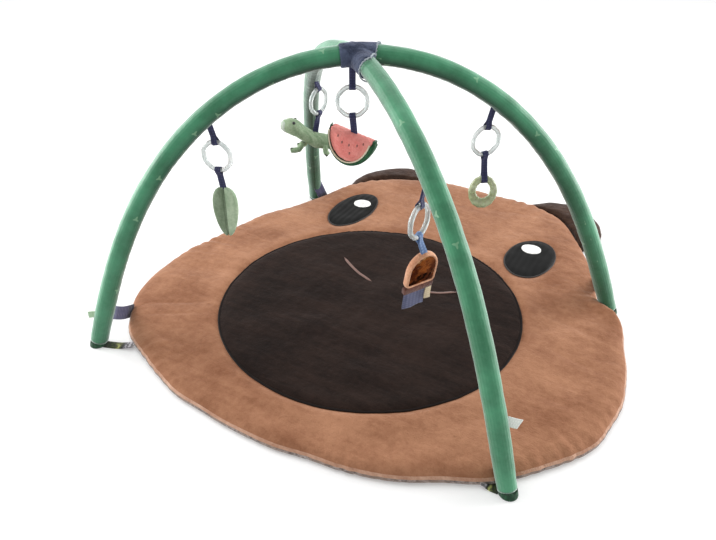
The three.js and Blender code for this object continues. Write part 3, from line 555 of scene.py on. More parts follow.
def waves(count, low, high, weight=1.0):
    """Random plane waves: waves a millimetre each way, start and weight."""
    turn = rng.uniform(0, math.pi, count)
    size = rng.uniform(low, high, count)
    return np.cos(turn) / size, np.sin(turn) / size, rng.uniform(0, 2 * math.pi, count), (
        rng.uniform(0.5, 1, count) / math.sqrt(count) * weight)


def rippled(x, y, made):
    total = np.zeros(np.broadcast(x, y).shape)
    for kx, ky, start, weight in zip(*made):
        total = total + weight * np.sin(2 * math.pi * (kx * x + ky * y) + start)
    return total


def oval_distance(x, y, oval):
    """Roughly how far outside an oval a place is, and below 0 inside it."""
    mx, my, a, b = oval
    return (np.hypot((x - mx) / a, (y - my) / b) - 1) * (a + b) / 2


# The mat.
def creased(x, y):
    """How deep the troughs and creases are at a place."""
    depth = np.zeros(np.shape(x))
    for mx, my, turn, long, wide, deep in CREASES:
        c, s = math.cos(math.radians(turn)), math.sin(math.radians(turn))
        along = ((x - mx) * c + (y - my) * s) / long
        across = ((y - my) * c - (x - mx) * s) / wide
        depth = depth + deep * np.exp(-2 * along ** 2 - across ** 2)
    return depth


def hump(place, x, y, reach, by):
    return by * np.exp(-((place - [x, y]) ** 2).sum(1) / reach ** 2)


def mat_outline():
    """The sewn edge's line, read from the solid's ring of points at the seam's height, and made smooth."""
    points = coordinates(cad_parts["mat"].data)
    ring = np.unique(np.round(points[np.abs(points[:, 2] - MAT_SEAM_HIGH) < 0.05], 3), axis=0)[:, :2]
    away = ring - MAT_MIDDLE
    ring = ring[np.argsort(np.arctan2(away[:, 1], away[:, 0]))]
    line = spline(np.concatenate([ring[-1:], ring, ring[:2]]), 12)
    line = spaced(np.concatenate([line, line[:1]]), MAT_STEPS + 1)[:-1]
    line = sum(np.roll(line, k, 0) for k in range(-EDGE_SMOOTH, EDGE_SMOOTH + 1)) / (2 * EDGE_SMOOTH + 1)
    push = EDGE_OUT + sum(hump(line, *row) for row in EDGE_PUSHES)
    return line + unit(line - MAT_MIDDLE) * push[:, None]


def puckers(count, low, high):
    """Uneven gathers round the edge, as a value for each step."""
    at = circle(MAT_STEPS)
    total = np.zeros(MAT_STEPS)
    for _ in range(count):
        total += rng.uniform(0.4, 1) * np.sin(rng.integers(low, high) * at + rng.uniform(0, 6.28))
    strength = 0.65 + 0.35 * np.sin(7 * at + 1.3) + 0.25 * np.sin(13 * at + 0.4)
    return total / math.sqrt(count) * strength


def make_mat():
    outline = mat_outline()
    away = outline - MAT_MIDDLE
    out = unit(away)
    size = np.linalg.norm(away, axis=1)
    lip = hump(outline, *LIP)
    folds = puckers(14, 90, 190)
    swells = puckers(8, 26, 60)
    padding = waves(14, 90, 280)
    hand = waves(20, 26, 70)
    top = []
    for deep in np.concatenate([[0, 1.2, 2.6, 4.4, 6.6, 9.2, 12.2, 15.6], np.arange(19.5, 180, 4.0),
                                np.arange(184, 340, 9.0)]):
        fade = math.exp(-deep / EDGE_FADE)
        near = math.exp(-deep / SEAM_FADE)
        inward = away * (1 - deep / size)[:, None]
        place = MAT_MIDDLE + inward + out * (near * (0.7 * folds + 0.4 * swells))[:, None]
        x, y = place.T
        high = MAT_SEAM_HIGH + MAT_RISE * (1 - math.exp(-((deep / MAT_ROUND) ** 0.85)))
        high = high + (1.1 * folds + 0.7 * swells) * fade * min(1, deep / 8)
        high = high + lip * math.exp(-(deep / 24) ** 2)
        high = high + (1 - near) * (rippled(x, y, padding) + 0.42 * rippled(x, y, hand) - creased(x, y))
        for oval, deepest in ((MUZZLE, 3.4), (EYES["left"], 2.0), (EYES["right"], 2.0)):
            off = np.abs(oval_distance(x, y, oval))
            high = high - deepest * np.exp(-(off / 6.5) ** 2) + 0.9 * np.exp(-((off - 20) / 13) ** 2)
        top.append(np.column_stack([x, y, np.maximum(high, MAT_SEAM_HIGH)]))
    under = []
    for deep, high in UNDER_ROWS:
        fold = folds * math.exp(-abs(deep) / 5)
        lift = 0.5 * np.abs(fold) * min(1, high) + lip * min(1, high / MAT_SEAM_HIGH)
        under.append(np.column_stack([outline + out * (0.6 * fold - deep)[:, None], high + lift]))
    seam = len(under)
    mat = skin("mat_body", under + top, ["brown", "under", "rim"], "mat", size=(2750, 500),
               pick=lambda row: np.where(row < seam, 1, np.where(row < seam + 2, 2, 0)))
    mat.data.polygons[-2].material_index = 1
    return mat


def tree_over(obj):
    """For finding what lies below or in front of a place."""
    return BVHTree.FromPolygons([v.co for v in obj.data.vertices], [p.vertices for p in obj.data.polygons])


def laid(tree, x, y):
    """The heights of the surface below each place."""
    down = Vector((0, 0, -1))
    places = np.stack([np.ravel(x), np.ravel(y)], 1) * MM
    heights = [tree.ray_cast(Vector((*place, 0.1)), down)[0].z for place in places]
    return np.reshape(heights, np.shape(x)) / MM


def make_panel(name, node, cloth, oval, tree, lift, dome, rings, around, edge=0.3, soft=None):
    """An oval cloth panel laid on what is below it, crowned a little and turned down at its edge."""
    mx, my, a, b = oval
    turns = circle(around)
    shares = np.concatenate([np.linspace(0.02, 0.94, rings), [0.965, 0.985, 0.996, 1.0]])[:, None]
    x = mx + a * shares * np.cos(turns)
    y = my + b * shares * np.sin(turns)
    base = laid(tree, x, y)
    crown = lift + dome * (1 - shares ** 2)
    high = base + crown
    if soft is not None:
        high = high + rippled(x, y, soft) * (1 - shares ** 6)
    high = high - np.clip((shares - 0.985) / 0.015, 0, 1) * (crown + edge)
    rows = np.stack([x, y, high], -1)
    under = rows[::-1].copy()
    under[..., 2] = np.minimum(base[::-1] - 0.2, under[..., 2] - 0.4)
    made = skin(name, np.concatenate([rows, under[1:]]), [cloth], node,
                size=(math.pi * (a + b), (a + b) / 2))
    return made


def make_rope(name, cloth, points, wide, high, tree, lift, closed=True):
    """A low rounded line of stitching, laid on what is below it."""
    path = np.column_stack([points, laid(tree, *points.T) + lift])
    section = oval_section(wide / 2, high, 12)
    ahead = unit((np.roll(path, -1, 0) - np.roll(path, 1, 0)) if closed else np.gradient(path, axis=0))
    if not closed:
        section = section * np.clip(np.sin(np.linspace(0, math.pi, len(path))) * 3, 0.15, 1)[:, None, None]
    rows = swept(path, np.cross(UP, ahead), section, closed)
    skin(name, rows, [cloth], loop=closed, size=(2 * wide, length_of(path)))


def oval_line(oval, inside, count):
    mx, my, a, b = oval
    return oval_section(a - inside, b - inside, count) + [mx, my]


def make_face(mat):
    tree = tree_over(mat)
    soft = [np.concatenate(pair) for pair in zip(waves(12, 60, 190, 1.1), waves(14, 18, 50, 0.32))]
    muzzle = make_panel("muzzle_panel", "muzzle", "dark", MUZZLE, tree, 1.2, 2.2, 60, 200,
                        soft=soft)
    line = oval_line(MUZZLE, 1.5, 420)
    make_rope("muzzle_stitching", "panel_edge", line, 5.0, 1.5, tree, 0.6)
    for side, oval in EYES.items():
        node = f"eye_{side}"
        eye = make_panel(f"{node}_patch", node, "eye", oval, tree, 1.2, 1.4, 16, 96)
        line = oval_line(oval, 1, 210)
        make_rope(f"{node}_stitching", "eye_edge", line, 3.6, 1.3, tree, 0.6)
        node = f"glint_{side}"
        make_panel(f"{node}_patch", node, "white", GLINTS[side], tree_over(eye), 1.0, 0.8,
                   8, 48, 0.2)
    tree = tree_over(muzzle)
    for side, (start, end) in NOSTRILS.items():
        share = np.linspace(0, 1, 60)[:, None]
        line = start + np.subtract(end, start) * share + np.array([0.0, -5.0]) * np.sin(math.pi * share)
        make_rope(f"nostril_{side}", "nostril", line, 5.2, 1.2, tree, 0.5, closed=False)


# The arches.
def leg_path(name):
    x, y, hub_high, end_turn, top, bow = LEGS[name]
    t = (np.arange(LEG_POINTS) + 0.5) / LEG_POINTS
    slope = math.radians(end_turn) * ((1 - top) * t + top * np.sin(math.pi * t / 2))
    out = np.concatenate([[0], np.cumsum(np.cos(slope))])
    down = np.concatenate([[0], np.cumsum(np.sin(slope))])
    share = out / out[-1]
    side = bow * 4 * share * (1 - share) / math.hypot(x, y)
    return np.column_stack([x * share - y * side, y * share + x * side, hub_high * (1 - down / down[-1])])


PATHS = {name: leg_path(name) for name in LEGS}


def far_out(path):
    return np.hypot(path[:, 0], path[:, 1])


def level_side(path):
    """The level direction across a leg, the same all the way down, so that its seam stays underneath."""
    return unit(np.cross(unit(path[-1] - path[0]), UP))


def make_sleeve(name):
    path = PATHS[name]
    start = HUB["sleeve_start"] if name in ("front", "right") else SLEEVE["start"]
    line = spaced(path[(far_out(path) >= start) & (path[:, 2] >= SLEEVE["end"])], SLEEVE["rows"])
    long = length_of(line)
    at = np.linspace(0, long, len(line))[:, None]
    turns = circle(SLEEVE["around"])[None, :]
    inner = np.clip(-np.sin(turns), 0, 1) ** 2
    slim = np.clip((FOOT["from"] - line[:, 2:]) / FOOT["from"], 0, 1)
    gather = np.sin(2 * math.pi * at / 15.5 + 1.7 * np.sin(at / 61)) * (0.6 + 0.4 * np.sin(at / 37))
    seam = np.exp(-((np.abs(turns - 1.5 * math.pi)) * SLEEVE["radius"] / 1.3) ** 2)
    uneven = rippled(at + 0 * turns, 30 * np.cos(turns) + 0 * at, waves(16, 20, 90))
    radius = SLEEVE["radius"] - (SLEEVE["radius"] - FOOT["radius"]) * slim + 0.14 * inner * gather
    radius = radius + 0.3 * uneven + 0.8 * seam
    rows = swept(line, level_side(path), np.stack([radius * np.cos(turns), radius * np.sin(turns)], -1))
    made = skin(f"sleeve_{name}_cloth", rows, ["sleeve"], f"sleeve_{name}",
                size=(2 * math.pi * SLEEVE["radius"], long))


def make_cap(name):
    """A gathered cup round the foot, cut level at its top and at the floor."""
    path = PATHS[name]
    down = unit(path[-1] - path[-8])
    start = path[path[:, 2] < CAP["high"] + 8][0]
    line = start + down * np.linspace(0, 30, 26)[:, None]
    gathers = 1 + 0.012 * np.sin(CAP["gathers"] * circle(48)) * np.linspace(0.2, 1, len(line))[:, None]
    section = oval_section(FOOT["radius"], FOOT["radius"], 48) * gathers[..., None]
    rows = swept(line, level_side(path), section)
    low = np.clip(1 - rows[..., 2:] / 3.0, 0, 1)
    rows = rows + (path[-1] - rows) * [1, 1, 0] * low ** 2 * 0.05
    top = CAP["high"] + 0.2
    over = rows[..., 2] > top
    under = rows[..., 2] < 0
    slide = np.where(over, rows[..., 2] - top, np.where(under, rows[..., 2], 0.0)) / -down[2]
    rows = rows + slide[..., None] * down
    keep = [i for i in range(len(rows)) if not (under[i].all() or over[i].all())]
    rows = rows[max(keep[0] - 1, 0):keep[-1] + 2]
    skin(f"cap_{name}_cup", rows, ["cap"], f"cap_{name}",
         size=(2 * math.pi * FOOT["radius"], CAP["high"]))


def evaluated(obj):
    graph = bpy.context.evaluated_depsgraph_get()
    graph.update()
    return bpy.data.meshes.new_from_object(obj.evaluated_get(graph), depsgraph=graph)


def coordinates(mesh):
    """A mesh's points in millimetres."""
    values = np.zeros(len(mesh.vertices) * 3, np.float32)
    mesh.vertices.foreach_get("co", values)
    return values.reshape(-1, 3).astype(float) / MM


def moved(obj, points):
    obj.data.vertices.foreach_set("co", (points * MM).astype(np.float32).ravel())
    obj.data.update()


def normals_of(mesh):
    values = np.zeros(len(mesh.vertices) * 3, np.float32)
    mesh.vertex_normals.foreach_get("vector", values)
    return values.reshape(-1, 3).astype(float)


def rebuilt(name, node, voxel, smooth):
    """A copy of a CAD solid remeshed evenly, and smoothed by a few rounds."""
    copied = bmesh.new()
    copied.from_mesh(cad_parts[node].data)
    bmesh.ops.remove_doubles(copied, verts=copied.verts, dist=1e-6)
    mesh = bpy.data.meshes.new(name)
    copied.to_mesh(mesh)
    copied.free()
    obj = bpy.data.objects.new(name, mesh)
    bpy.context.scene.collection.objects.link(obj)
    even = obj.modifiers.new("even", "REMESH")
    even.mode = "VOXEL"
    even.voxel_size = voxel * MM
    soft = obj.modifiers.new("soft", "SMOOTH")
    soft.factor = 0.5
    soft.iterations = smooth
    obj.data = evaluated(obj)
    obj.modifiers.clear()
    obj.data.materials.clear()
    return obj


def puffed(obj, inset, cap, pressure=4.0, frames=20, levels=1):
    """Blows a piece up as filled cloth: drawn in a little, swelled by pressure, capped, then smoothed."""
    start = coordinates(obj.data) - normals_of(obj.data) * inset
    moved(obj, start)
    cloth = obj.modifiers.new("cloth", "CLOTH")
    cloth.settings.use_pressure = True
    cloth.settings.uniform_pressure_force = pressure
    cloth.settings.effector_weights.gravity = 0
    cloth.settings.quality = 5
    cloth.point_cache.frame_start = 1
    cloth.point_cache.frame_end = frames
    for step in range(1, frames + 1):
        bpy.context.scene.frame_set(step)
    swell = coordinates(evaluated(obj)) - start
    obj.modifiers.remove(cloth)
    bpy.context.scene.frame_set(1)
    far = np.linalg.norm(swell, axis=1, keepdims=True)
    moved(obj, start + swell * np.minimum(1, cap / np.maximum(far, 1e-6)))
    if levels:
        finer = obj.modifiers.new("finer", "SUBSURF")
        finer.levels = finer.render_levels = levels
        obj.data = evaluated(obj)
        obj.modifiers.clear()
    return obj


def make_hub():
    hub = rebuilt("hub_cover_cloth", "hub_cover", 1.9, 8)
    points = coordinates(hub.data)
    x, y, z = points.T
    folds = rippled(x + 0.4 * z, y - 0.3 * z, waves(10, 12, 34))
    points = points + normals_of(hub.data) * (0.55 + 0.35 * folds)[:, None]
    path = PATHS["front"]
    front = unit(path[-1, :2])
    out = path[:, :2] @ front
    along = points[:, :2] @ front
    beside = np.abs(points[:, 1] * front[0] - points[:, 0] * front[1])
    longer = (HUB["front_reach"] - HUB["reach"]) / (HUB["reach"] - HUB["root"])
    grown = longer * np.clip(along - HUB["root"], 0, None) * np.clip((28 - beside) / 8, 0, 1)
    slope = path[np.argmax(out > HUB["reach"])] - path[np.argmax(out > HUB["root"])]
    points = points + grown[:, None] * slope / (slope[:2] @ front)
    facing = heading(HUB["cut_turn"])
    points = points - np.clip(points @ facing - HUB["cut"], 0, None)[:, None] * facing
    moved(hub, points)
    dressed(hub, ["hub"], "hub_cover")
    for name, other, reach in (("front", "right", HUB["front_reach"]), ("right", "front", HUB["reach"])):
        path = PATHS[name]
        here = int(np.argmax(far_out(path) > reach - 1))
        ahead = unit(path[here + 1] - path[here - 1])
        side = level_side(path)
        turns = circle(168)
        teeth = 1.7 * np.abs(((turns * 21 / math.pi) % 2) - 1) - 0.8
        out = np.cos(turns)[:, None] * side + np.sin(turns)[:, None] * np.cross(side, ahead)
        ring = path[here] + (HUB["radius"] + 0.3) * out
        over = np.clip(ring @ facing - HUB["cut"], 0, None)
        ring = ring + (teeth - over / (ahead @ facing))[:, None] * ahead
        off = np.linalg.norm(ring[:, None] - PATHS[other][None, :3 * here], axis=2).min(1)
        outside = off > HUB["radius"] - 0.6
        first = int(np.argmax(outside & ~np.roll(outside, 1)))
        kept = [k for k in np.roll(np.arange(len(ring)), -first) if outside[k]]
        rows = swept(ring[kept], out[kept], oval_section(1.15, 1.15, 8))
        skin(f"hub_edging_{name}", rows, ["braid"], size=(7, 118))


def make_ties(name):
    path = PATHS[name]
    (sx, sy), (rx, ry), width_turn = TIES[name]
    start = path[path[:, 2] < STRAP["high"]][0]
    end = np.array([sx, sy, STRAP["low"]])
    middle = start + (end - start) * STRAP["bend"]
    if width_turn is None:
        across = UP
        middle = middle - UP * STRAP["sag"]
    else:
        across = heading(width_turn)
    line = smooth_path([start, middle, end], 40)
    line = spaced(line[np.linalg.norm(line - start, axis=1) > SLEEVE["radius"] - 2.5], 36)
    long = length_of(line)
    rows = swept(line, across, flat_section(STRAP["wide"], STRAP["thick"]))
    made = skin(f"foot_strap_{name}_webbing", rows, [strap_cloth(f"strap_{name}_cloth")],
                f"foot_strap_{name}", size=(2 * STRAP["wide"], long))
    foot = path[-1]
    away = np.array([rx - foot[0], ry - foot[1], 0.0])
    line = smooth_path([foot * [1, 1, 0] + away * share + UP * high for share, high in (
        (0.15, RIBBON["floor"]), (0.6, RIBBON["floor"]), (1.0, RIBBON["high"]))], 40)
    line = spaced(line[far_out(line - foot) > FOOT["radius"] - 1.5], 30)
    rows = swept(line, unit(np.cross(UP, away)), flat_section(RIBBON["wide"], RIBBON["thick"]))
    long = length_of(line)
    cloth = ribbon_cloth(f"ribbon_{name}_cloth")
    made = skin(f"foot_ribbon_{name}_cloth", rows, [cloth], f"foot_ribbon_{name}",
                size=(2 * RIBBON["wide"], long))


def make_tag(name, node, cloth, leg, high, wide, tall, thick, turn, droop):
    """A folded tag sewn into a sleeve's seam, drooping and a little curled."""
    at = PATHS[leg][PATHS[leg][:, 2] < high][0]
    across = np.cross(UP, heading(turn))
    out = heading(turn) * math.cos(math.radians(droop)) - UP * math.sin(math.radians(droop))
    share = np.linspace(0, 1, 14)[:, None]
    line = at + out * (SLEEVE["radius"] - 2 + share * wide) + across * (1.6 * share ** 2)
    rows = swept(line, np.cross(out, across), flat_section(tall, thick))
    made = skin(name, rows, [cloth], node, size=(2 * tall, wide))


# Ears.
def make_ear(side):
    ear = puffed(rebuilt(f"ear_{side}_flap", f"ear_{side}", 4.5, 3), 1.6, 5.0)
    points = coordinates(ear.data)
    mx, my, turn, root, reach = EARS[side]
    out = heading(turn)[:2]
    far = np.clip((points[:, :2] - [mx, my]) @ out, 0, None)
    points[:, :2] += np.clip(far - root, 0, None)[:, None] * (reach - 1) * out
    x, y, z = points.T
    upper = np.clip(z / 12, 0, 1)
    rise = upper * (3.5 * np.clip(far / 60, 0, 1) + 0.7 * rippled(x, y, waves(12, 25, 80)))
    points[:, 2] = np.maximum(z + rise, 0.0)
    moved(ear, points)
    dressed(ear, ["ear"], f"ear_{side}")


# The toys and what they hang on.
def hang_point(toy):
    leg, share = CHAINS[toy][:2]
    if leg == "hub":
        return np.array([0, 0, HUB["high"]], float)
    want = math.hypot(*LEGS[leg][:2]) * share
    return PATHS[leg][int(np.argmax(far_out(PATHS[leg]) >= want))]


def hung(toy, points):
    """Moves points from a toy's own frame, top at the origin and facing -Y, to where it hangs."""
    pitch, lean, turn = (math.radians(angles.get(toy, 0)) for angles in (TOY_PITCH, TOY_LEAN, TOY_TURN))
    p = np.asarray(points, float)
    y = p[..., 1] * math.cos(pitch) - p[..., 2] * math.sin(pitch)
    pitched = p[..., 2] * math.cos(pitch) + p[..., 1] * math.sin(pitch)
    x = p[..., 0] * math.cos(lean) + pitched * math.sin(lean)
    z = pitched * math.cos(lean) - p[..., 0] * math.sin(lean)
    at = hang_point(toy) + DRIFT * CHAINS[toy][6]
    return np.stack([at[0] + x * math.cos(turn) - y * math.sin(turn),
                     at[1] + x * math.sin(turn) + y * math.cos(turn), CHAINS[toy][3] + z], -1)


def way(toy, direction):
    """A direction in a toy's own frame, as it hangs."""
    return hung(toy, direction) - hung(toy, (0, 0, 0))


def toy_pad(toy, name, node, voxel, smooth, inset, cap, cloth):
    made = puffed(rebuilt(name, node, voxel, smooth), inset, cap)
    dressed(made, [cloth], node)
    return made


def ring_rows(radius, tube, around=96, sides=16, lobe=0.012):
    """A ring standing in the XZ plane round the origin, with eight gentle corners."""
    turns = circle(around)
    out = radius * (1 - lobe * np.cos(8 * turns))
    path = np.stack([out * np.cos(turns), 0 * turns, out * np.sin(turns)], 1)
    return swept(path, np.array([0.0, 1.0, 0.0]), oval_section(tube, tube, sides), closed=True)


def strap_loop(name, cloth, node, top, low, turns, bar_top, bar_low):
    """Two layers of webbing from top to low, each end wrapped round a bar where there is one.

    turns are the directions of the width in degrees at the top and at the low end."""
    wide, thick = WEBBING["wide"], WEBBING["thick"]
    long = float(np.linalg.norm(low - top))
    down = (low - top) / long
    apart = thick / 2 + 0.1
    r_top, r_low = bar_top + thick / 2 + 0.15, bar_low + thick / 2 + 0.15
    wrap = np.radians(np.linspace(-90, 15, 12))
    half = [(r_top * math.cos(a), r_top * math.sin(a)) for a in wrap if bar_top]
    half.append((apart, 2.1 * r_top if bar_top else 0.0))
    half.append((apart, long - 2.1 * r_low if bar_low else long))
    half += [(r_low * math.cos(a), long - r_low * math.sin(a)) for a in wrap[::-1] if bar_low]
    half = np.array(half)
    other = half[::-1] * [-1, 1]
    if bar_low:
        other = other[1:]
    line = np.concatenate([half, other[:-1] if bar_top else other])
    closed = bool(bar_top)
    line = spaced(np.concatenate([line, line[:1]]), 121)[:-1] if closed else spaced(line, 110)
    share = np.clip(line[:, 1:] / long, 0, 1)
    angle = np.radians(turns[0] + (turns[1] - turns[0]) * share * share * (3 - 2 * share))
    wide_way = np.concatenate([np.cos(angle), np.sin(angle), 0 * angle], 1)
    wide_way = unit(wide_way - down * (wide_way @ down)[:, None])
    path = top + line[:, :1] * np.cross(down, wide_way) + line[:, 1:] * down
    rows = swept(path, wide_way, flat_section(wide, thick), closed)
    skin(name, rows, [cloth], node, loop=closed, size=(2 * wide, length_of(path)))


def make_chain(toy):
    leg, _, ring_top, toy_top, turn, ring_drift, toy_drift = CHAINS[toy]
    at = hang_point(toy)
    middle = (at + DRIFT * ring_drift) * [1, 1, 0] + UP * (ring_top - LINK["tube"] - LINK["radius"])
    rows = ring_rows(LINK["radius"], LINK["tube"] - 0.15)
    rows = middle + rows[..., :1] * heading(turn) + rows[..., 1:2] * heading(turn + 90) + rows[..., 2:] * UP
    skin(f"link_{toy}_ring", rows, ["clear"], f"link_{toy}", loop=True, size=(24, 148))
    start = at + DRIFT * ring_drift * (1 if leg == "hub" else 0.35) - UP * 10
    high_bar, low_bar = middle + UP * LINK["radius"], middle - UP * LINK["radius"]
    tube = LINK["tube"]
    strap_loop(f"loop_{toy}_webbing", "navy", f"loop_{toy}", start, high_bar, (turn, turn), 0, tube)
    end = (at + DRIFT * toy_drift) * [1, 1, 0] + UP * toy_top
    name, node, facing = f"toy_loop_{toy}_webbing", f"toy_loop_{toy}", TOY_TURN[toy]
    if toy == "teether":
        bar = TEETHER["tube"]
        strap_loop(name, "navy", node, low_bar, end - UP * bar, (turn, facing), tube, bar)
    else:
        cloth = "blue" if toy == "mirror" else "navy"
        strap_loop(name, cloth, node, end - UP * 5, low_bar, (facing, turn), 0, tube)


def make_teether():
    """An egg-shaped ring, thicker at the bottom, with soft ridges round it."""
    rows = ring_rows(TEETHER["radius"], TEETHER["tube"] - 0.2, around=160, sides=24, lobe=0.0)
    x, y, z = rows[..., 0], rows[..., 1], rows[..., 2]
    far = np.hypot(x, z)
    low = ((1 - z / far) / 2) ** TEETHER["gather"]
    ridged = 1 + 0.045 * np.cos(14 * np.arctan2(z, x))
    out = (far - TEETHER["radius"]) * (1 + (TEETHER["heavy"] - 1) * low) * ridged
    rows = np.stack([(TEETHER["radius"] + out) * x / far, y * ridged,
                     (TEETHER["tall"] + out) * z / far - TEETHER["tall"] - TEETHER["tube"]], -1)
    skin("teether_ring", hung("teether", rows), ["lime"], "teether", loop=True,
         size=(38, 130))


def make_leaf():
    for half in ("dark", "light"):
        toy_pad("leaf", f"leaf_{half}_half", f"leaf_{half}", 1.7, 4, 0.4, 2.0,
                f"leaf_{half}")
    share = np.linspace(0, 1, 40)
    line = np.stack([0 * share, 0 * share, -3 - (LEAF["long"] - 6) * share], 1)
    plump = np.clip(np.sin(math.pi * share) * 2.2, 0.12, 1)[:, None, None]
    rows = swept(line, np.array([1.0, 0.0, 0.0]), oval_section(*LEAF["seam"], 16) * plump)
    skin("leaf_seam", hung("leaf", rows), ["leaf_dark"], size=(14, 88))


def make_melon():
    flesh = puffed(rebuilt("melon_flesh_pad", "melon_flesh", 1.9, 4), 0.5, 2.5)
    points = coordinates(flesh.data)
    sideways = way("melon", (1, 0, 0))
    left = np.clip((points - hung("melon", (0, 0, 0))) @ sideways, None, 0)
    moved(flesh, points + (left * (MELON["flesh_left"] - 1))[:, None] * sideways)
    dressed(flesh, ["flesh"], "melon_flesh")
    turns = np.linspace(math.pi, 2 * math.pi, 90)
    ends = np.clip(np.sin(turns - math.pi) * 7, 0.55, 1)[:, None]
    wide = MELON["rind_left"] + (MELON["rind_right"] - MELON["rind_left"]) * (1 + np.cos(turns)) / 2

    def arc(inside, y):
        return np.stack([(MELON["radius"] - inside) * np.cos(turns), y + 0 * turns,
                         (MELON["deep"] - inside) * np.sin(turns)], 1)

    squared = np.sign(oval_section(1, 1, 20)) * np.abs(oval_section(1, 1, 20)) ** 0.7
    half = np.concatenate([(MELON["thick"] / 2 - 1.2) * ends, wide[:, None] * ends / 2], 1)
    rows = swept(arc(wide / 2, 0), np.array([0.0, 1.0, 0.0]), squared * half[:, None])
    rind = skin("melon_rind_pad", hung("melon", rows), ["rind"], "melon_rind", size=(60, 150))
    tree = tree_over(flesh)
    seed_wide, seed_thick, tall = SEED_SIZE
    section = oval_section(seed_wide, seed_thick, 14)
    faces = (("front", -1), ("back", 1))
    for face, sign in faces:
        line = arc(wide, sign * (MELON["thick"] / 2 - 2.4))[3:-3]
        rows = swept(hung("melon", line), way("melon", (0, 1, 0)), oval_section(1.3, 1.3, 8))
        skin(f"melon_line_{face}", rows, ["cream"], size=(9, 110))
    for face, sign in faces:
        for k, (x, z) in enumerate(SEEDS):
            hit = tree.ray_cast(Vector(hung("melon", (x, sign * 40, z)) * MM),
                                Vector(unit(way("melon", (0, -sign, 0)))))
            if hit[0] is None:
                continue
            out, long = np.array(hit[1]), unit(way("melon", (0, 0, 1)))
            across = unit(np.cross(out, long))
            middle = np.array(hit[0]) / MM
            rows = [middle + section * math.sin(b) @ [across, out] - long * tall * math.cos(b)
                    for b in np.linspace(0, math.pi, 9)[1:-1]]
            skin(f"melon_seed_{face}_{k + 1}", rows, ["seed"], size=(8, 6))


def make_lizard():
    body = puffed(rebuilt("lizard_body_plush", "lizard_body", 2.0, 5), 0.6, 2.6)
    points = coordinates(body.data)
    high, reach = LIZARD_SWELL
    swell = high * np.exp(-((points - hung("lizard", LIZARD_SHOULDER)) ** 2).sum(1) / reach ** 2)
    moved(body, points + normals_of(body.data) * swell[:, None])
    middle = middles(body)
    near = (np.linalg.norm(middle - hung("lizard", LIZARD_SNOUT), axis=1)
            < 17 + 3 * rippled(*middle[:, :2].T, waves(6, 8, 20)))
    dressed(body, ["lizard", "snout"], "lizard_body", near)
    for limb in ("fore_near", "fore_far", "hind_near", "hind_far"):
        made = puffed(rebuilt(f"lizard_{limb}_limb", f"lizard_{limb}", 1.3, 2), -0.6, 1.4, levels=0)
        middle = middles(made)
        paw = middle[np.argmin(middle[:, 0] if "fore" in limb else middle[:, 2])]
        near = np.linalg.norm(middle - paw, axis=1) < 8
        dressed(made, ["lizard", "paw"], f"lizard_{limb}", near)
    for side in ("near", "far"):
        bead = rebuilt(f"lizard_eye_{side}_bead", f"lizard_eye_{side}", 0.6, 6)
        dressed(bead, ["bead"], f"lizard_eye_{side}")


def middles(obj):
    """The middles of a piece's faces."""
    return np.array([p.center[:] for p in obj.data.polygons]) / MM


def dome_line(inset):
    """The mirror toy's outline, an arch over a straight base with small round corners."""
    half, shoulder, corner = MIRROR["half_wide"] - inset, MIRROR["shoulder"], MIRROR["corner"]
    turns = np.linspace(0, math.pi, 64)
    arc = np.stack([half * np.cos(turns), (shoulder - inset) * np.sin(turns) - shoulder], 1)
    base = np.array([[0, corner], [corner * 0.3, corner * 0.3], [corner, 0]])
    base = base + [-half, inset - MIRROR["tall"]]
    line = np.concatenate([arc, base, base[::-1] * [-1, 1], arc[:1]])
    return spaced(line, 161)[:-1]


def upright(line, depth):
    return np.stack([line[:, 0], np.full(len(line), -depth), line[:, 1]], 1)


def make_mirror():
    border = MIRROR["border"]
    section = oval_section(0.5 * border, 0.5 * MIRROR["thick"], 18)[:, ::-1]
    rows = swept(upright(dome_line(border / 2), 0.0), np.array([0.0, 1.0, 0.0]), section, closed=True)
    made = skin("mirror_frame_border", hung("mirror", rows), ["tan"], "mirror_frame",
                loop=True, size=(30, 190))
    middle = np.array([0.0, -MIRROR["tall"] * 0.52])
    shares = np.linspace(0.03, 1, 22)
    edge = dome_line(border * 0.75)
    for name, node, slot, cloth, depth, crown in (
            ("mirror_back_cloth", None, "tan_cloth", "tan", -3.0, -1.6),
            ("mirror_film", "mirror_plate", "mirror_sheet", "film", 4.0, 1.2)):
        rows = [upright(middle + (edge - middle) * s, depth + crown * (1 - s ** 2)) for s in shares]
        rows += [upright(middle + (edge - middle) * s, depth - 1.2) for s in shares[::-1]]
        made = skin(name, hung("mirror", rows), [cloth], node, size=(160, 60))
        if not node:
            wide, long = 45, 58
            x, y = edge.T
    toy_pad("mirror", "mirror_band_pad", "mirror_band", 1.6, 4, 0.5, 2.2, "brown_band")
    top = -MIRROR["tall"] - 0.6 - MIRROR["band"]
    share = np.linspace(0, 1, 24)
    for name, slot, cloth, x, y, wide, long, curl in (
            ("mirror_flap", "lavender_cloth", "lavender", -2.5, 1, 38, 33, 4.0),
            ("mirror_tab", "cream_cloth", "cream_tab", 19.5, -2.6, 11, 22, 2.5)):
        places = np.stack([x + 0 * share, y - curl * share ** 2 * 0.6, top - long * share * 0.99 + 0.5], 1)
        rows = swept(places, np.array([1.0, 0, 0]), flat_section(wide, 1.6))
        rows[..., 1] += 0.9 * np.sin(rows[..., 0] / 5.0) * share[:, None]
        made = skin(f"{name}_cloth", hung("mirror", rows), [cloth], name, size=(2 * wide, long))


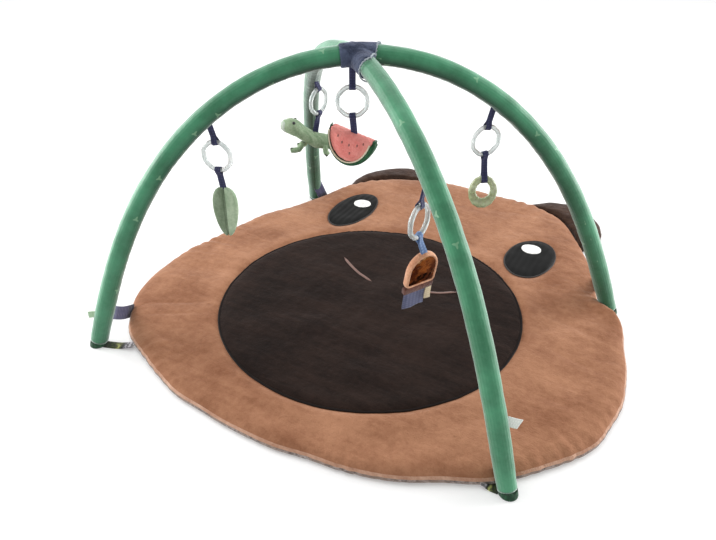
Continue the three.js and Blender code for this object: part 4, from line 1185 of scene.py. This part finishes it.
# Floor, light and camera.
def make_stage():
    mesh = bpy.data.meshes.new("floor")
    mesh.from_pydata([(-9, -9, 0), (9, -9, 0), (9, 9, 0), (-9, 9, 0)], [], [(0, 1, 2, 3)])
    floor = bpy.data.objects.new("floor", mesh)
    bpy.context.scene.collection.objects.link(floor)
    paint = Finish("floor_paint", Roughness=0.9, Specular_IOR_Level=0.1, Base_Color=(0.8, 0.8, 0.8, 1),
                   Emission_Color=(1, 1, 1, 1), Emission_Strength=0.24)
    mesh.materials.append(paint.material)
    floor.location.z = -0.0004
    world = bpy.data.worlds.new("studio")
    world.use_nodes = True
    background = world.node_tree.nodes["Background"]
    background.inputs["Color"].default_value = (1, 1, 1, 1)
    background.inputs["Strength"].default_value = 0.55
    bpy.context.scene.world = world
    for name, at, size, power in LAMPS:
        light = bpy.data.lights.new(name, "AREA")
        light.size = size
        light.energy = power
        lamp = bpy.data.objects.new(name, light)
        lamp.location = at
        lamp.rotation_euler = (Vector((0.03, 0.05, 0.1)) - Vector(at)).to_track_quat("-Z", "Y").to_euler()
        bpy.context.scene.collection.objects.link(lamp)
    bpy.context.scene.view_settings.view_transform = "Standard"


def make_camera():
    data = bpy.data.cameras.new("camera")
    data.sensor_width = 36
    data.lens = CAMERA["lens"]
    data.clip_start, data.clip_end = 0.01, 100
    camera = bpy.data.objects.new("camera", data)
    camera.location = Vector(CAMERA["at"]) * MM
    camera.rotation_euler = Vector(CAMERA["ahead"]).to_track_quat("-Z", "Y").to_euler()
    bpy.context.scene.collection.objects.link(camera)
    bpy.context.scene.camera = camera


make_camera()
make_stage()
make_face(make_mat())
for leg in LEGS:
    make_sleeve(leg)
    make_cap(leg)
    make_ties(leg)
make_hub()
make_tag("label_tag", "label", "label", "front", 110, 23, 18, 1.2, 30, 22)
make_tag("leg_tab_cloth", "leg_tab", "mint", "left", 62, 13, 13, 2.2, 210, 0)
for ear_side in ("left", "right"):
    make_ear(ear_side)
for toy_name in CHAINS:
    make_chain(toy_name)
make_teether()
make_leaf()
make_melon()
make_lizard()
make_mirror()
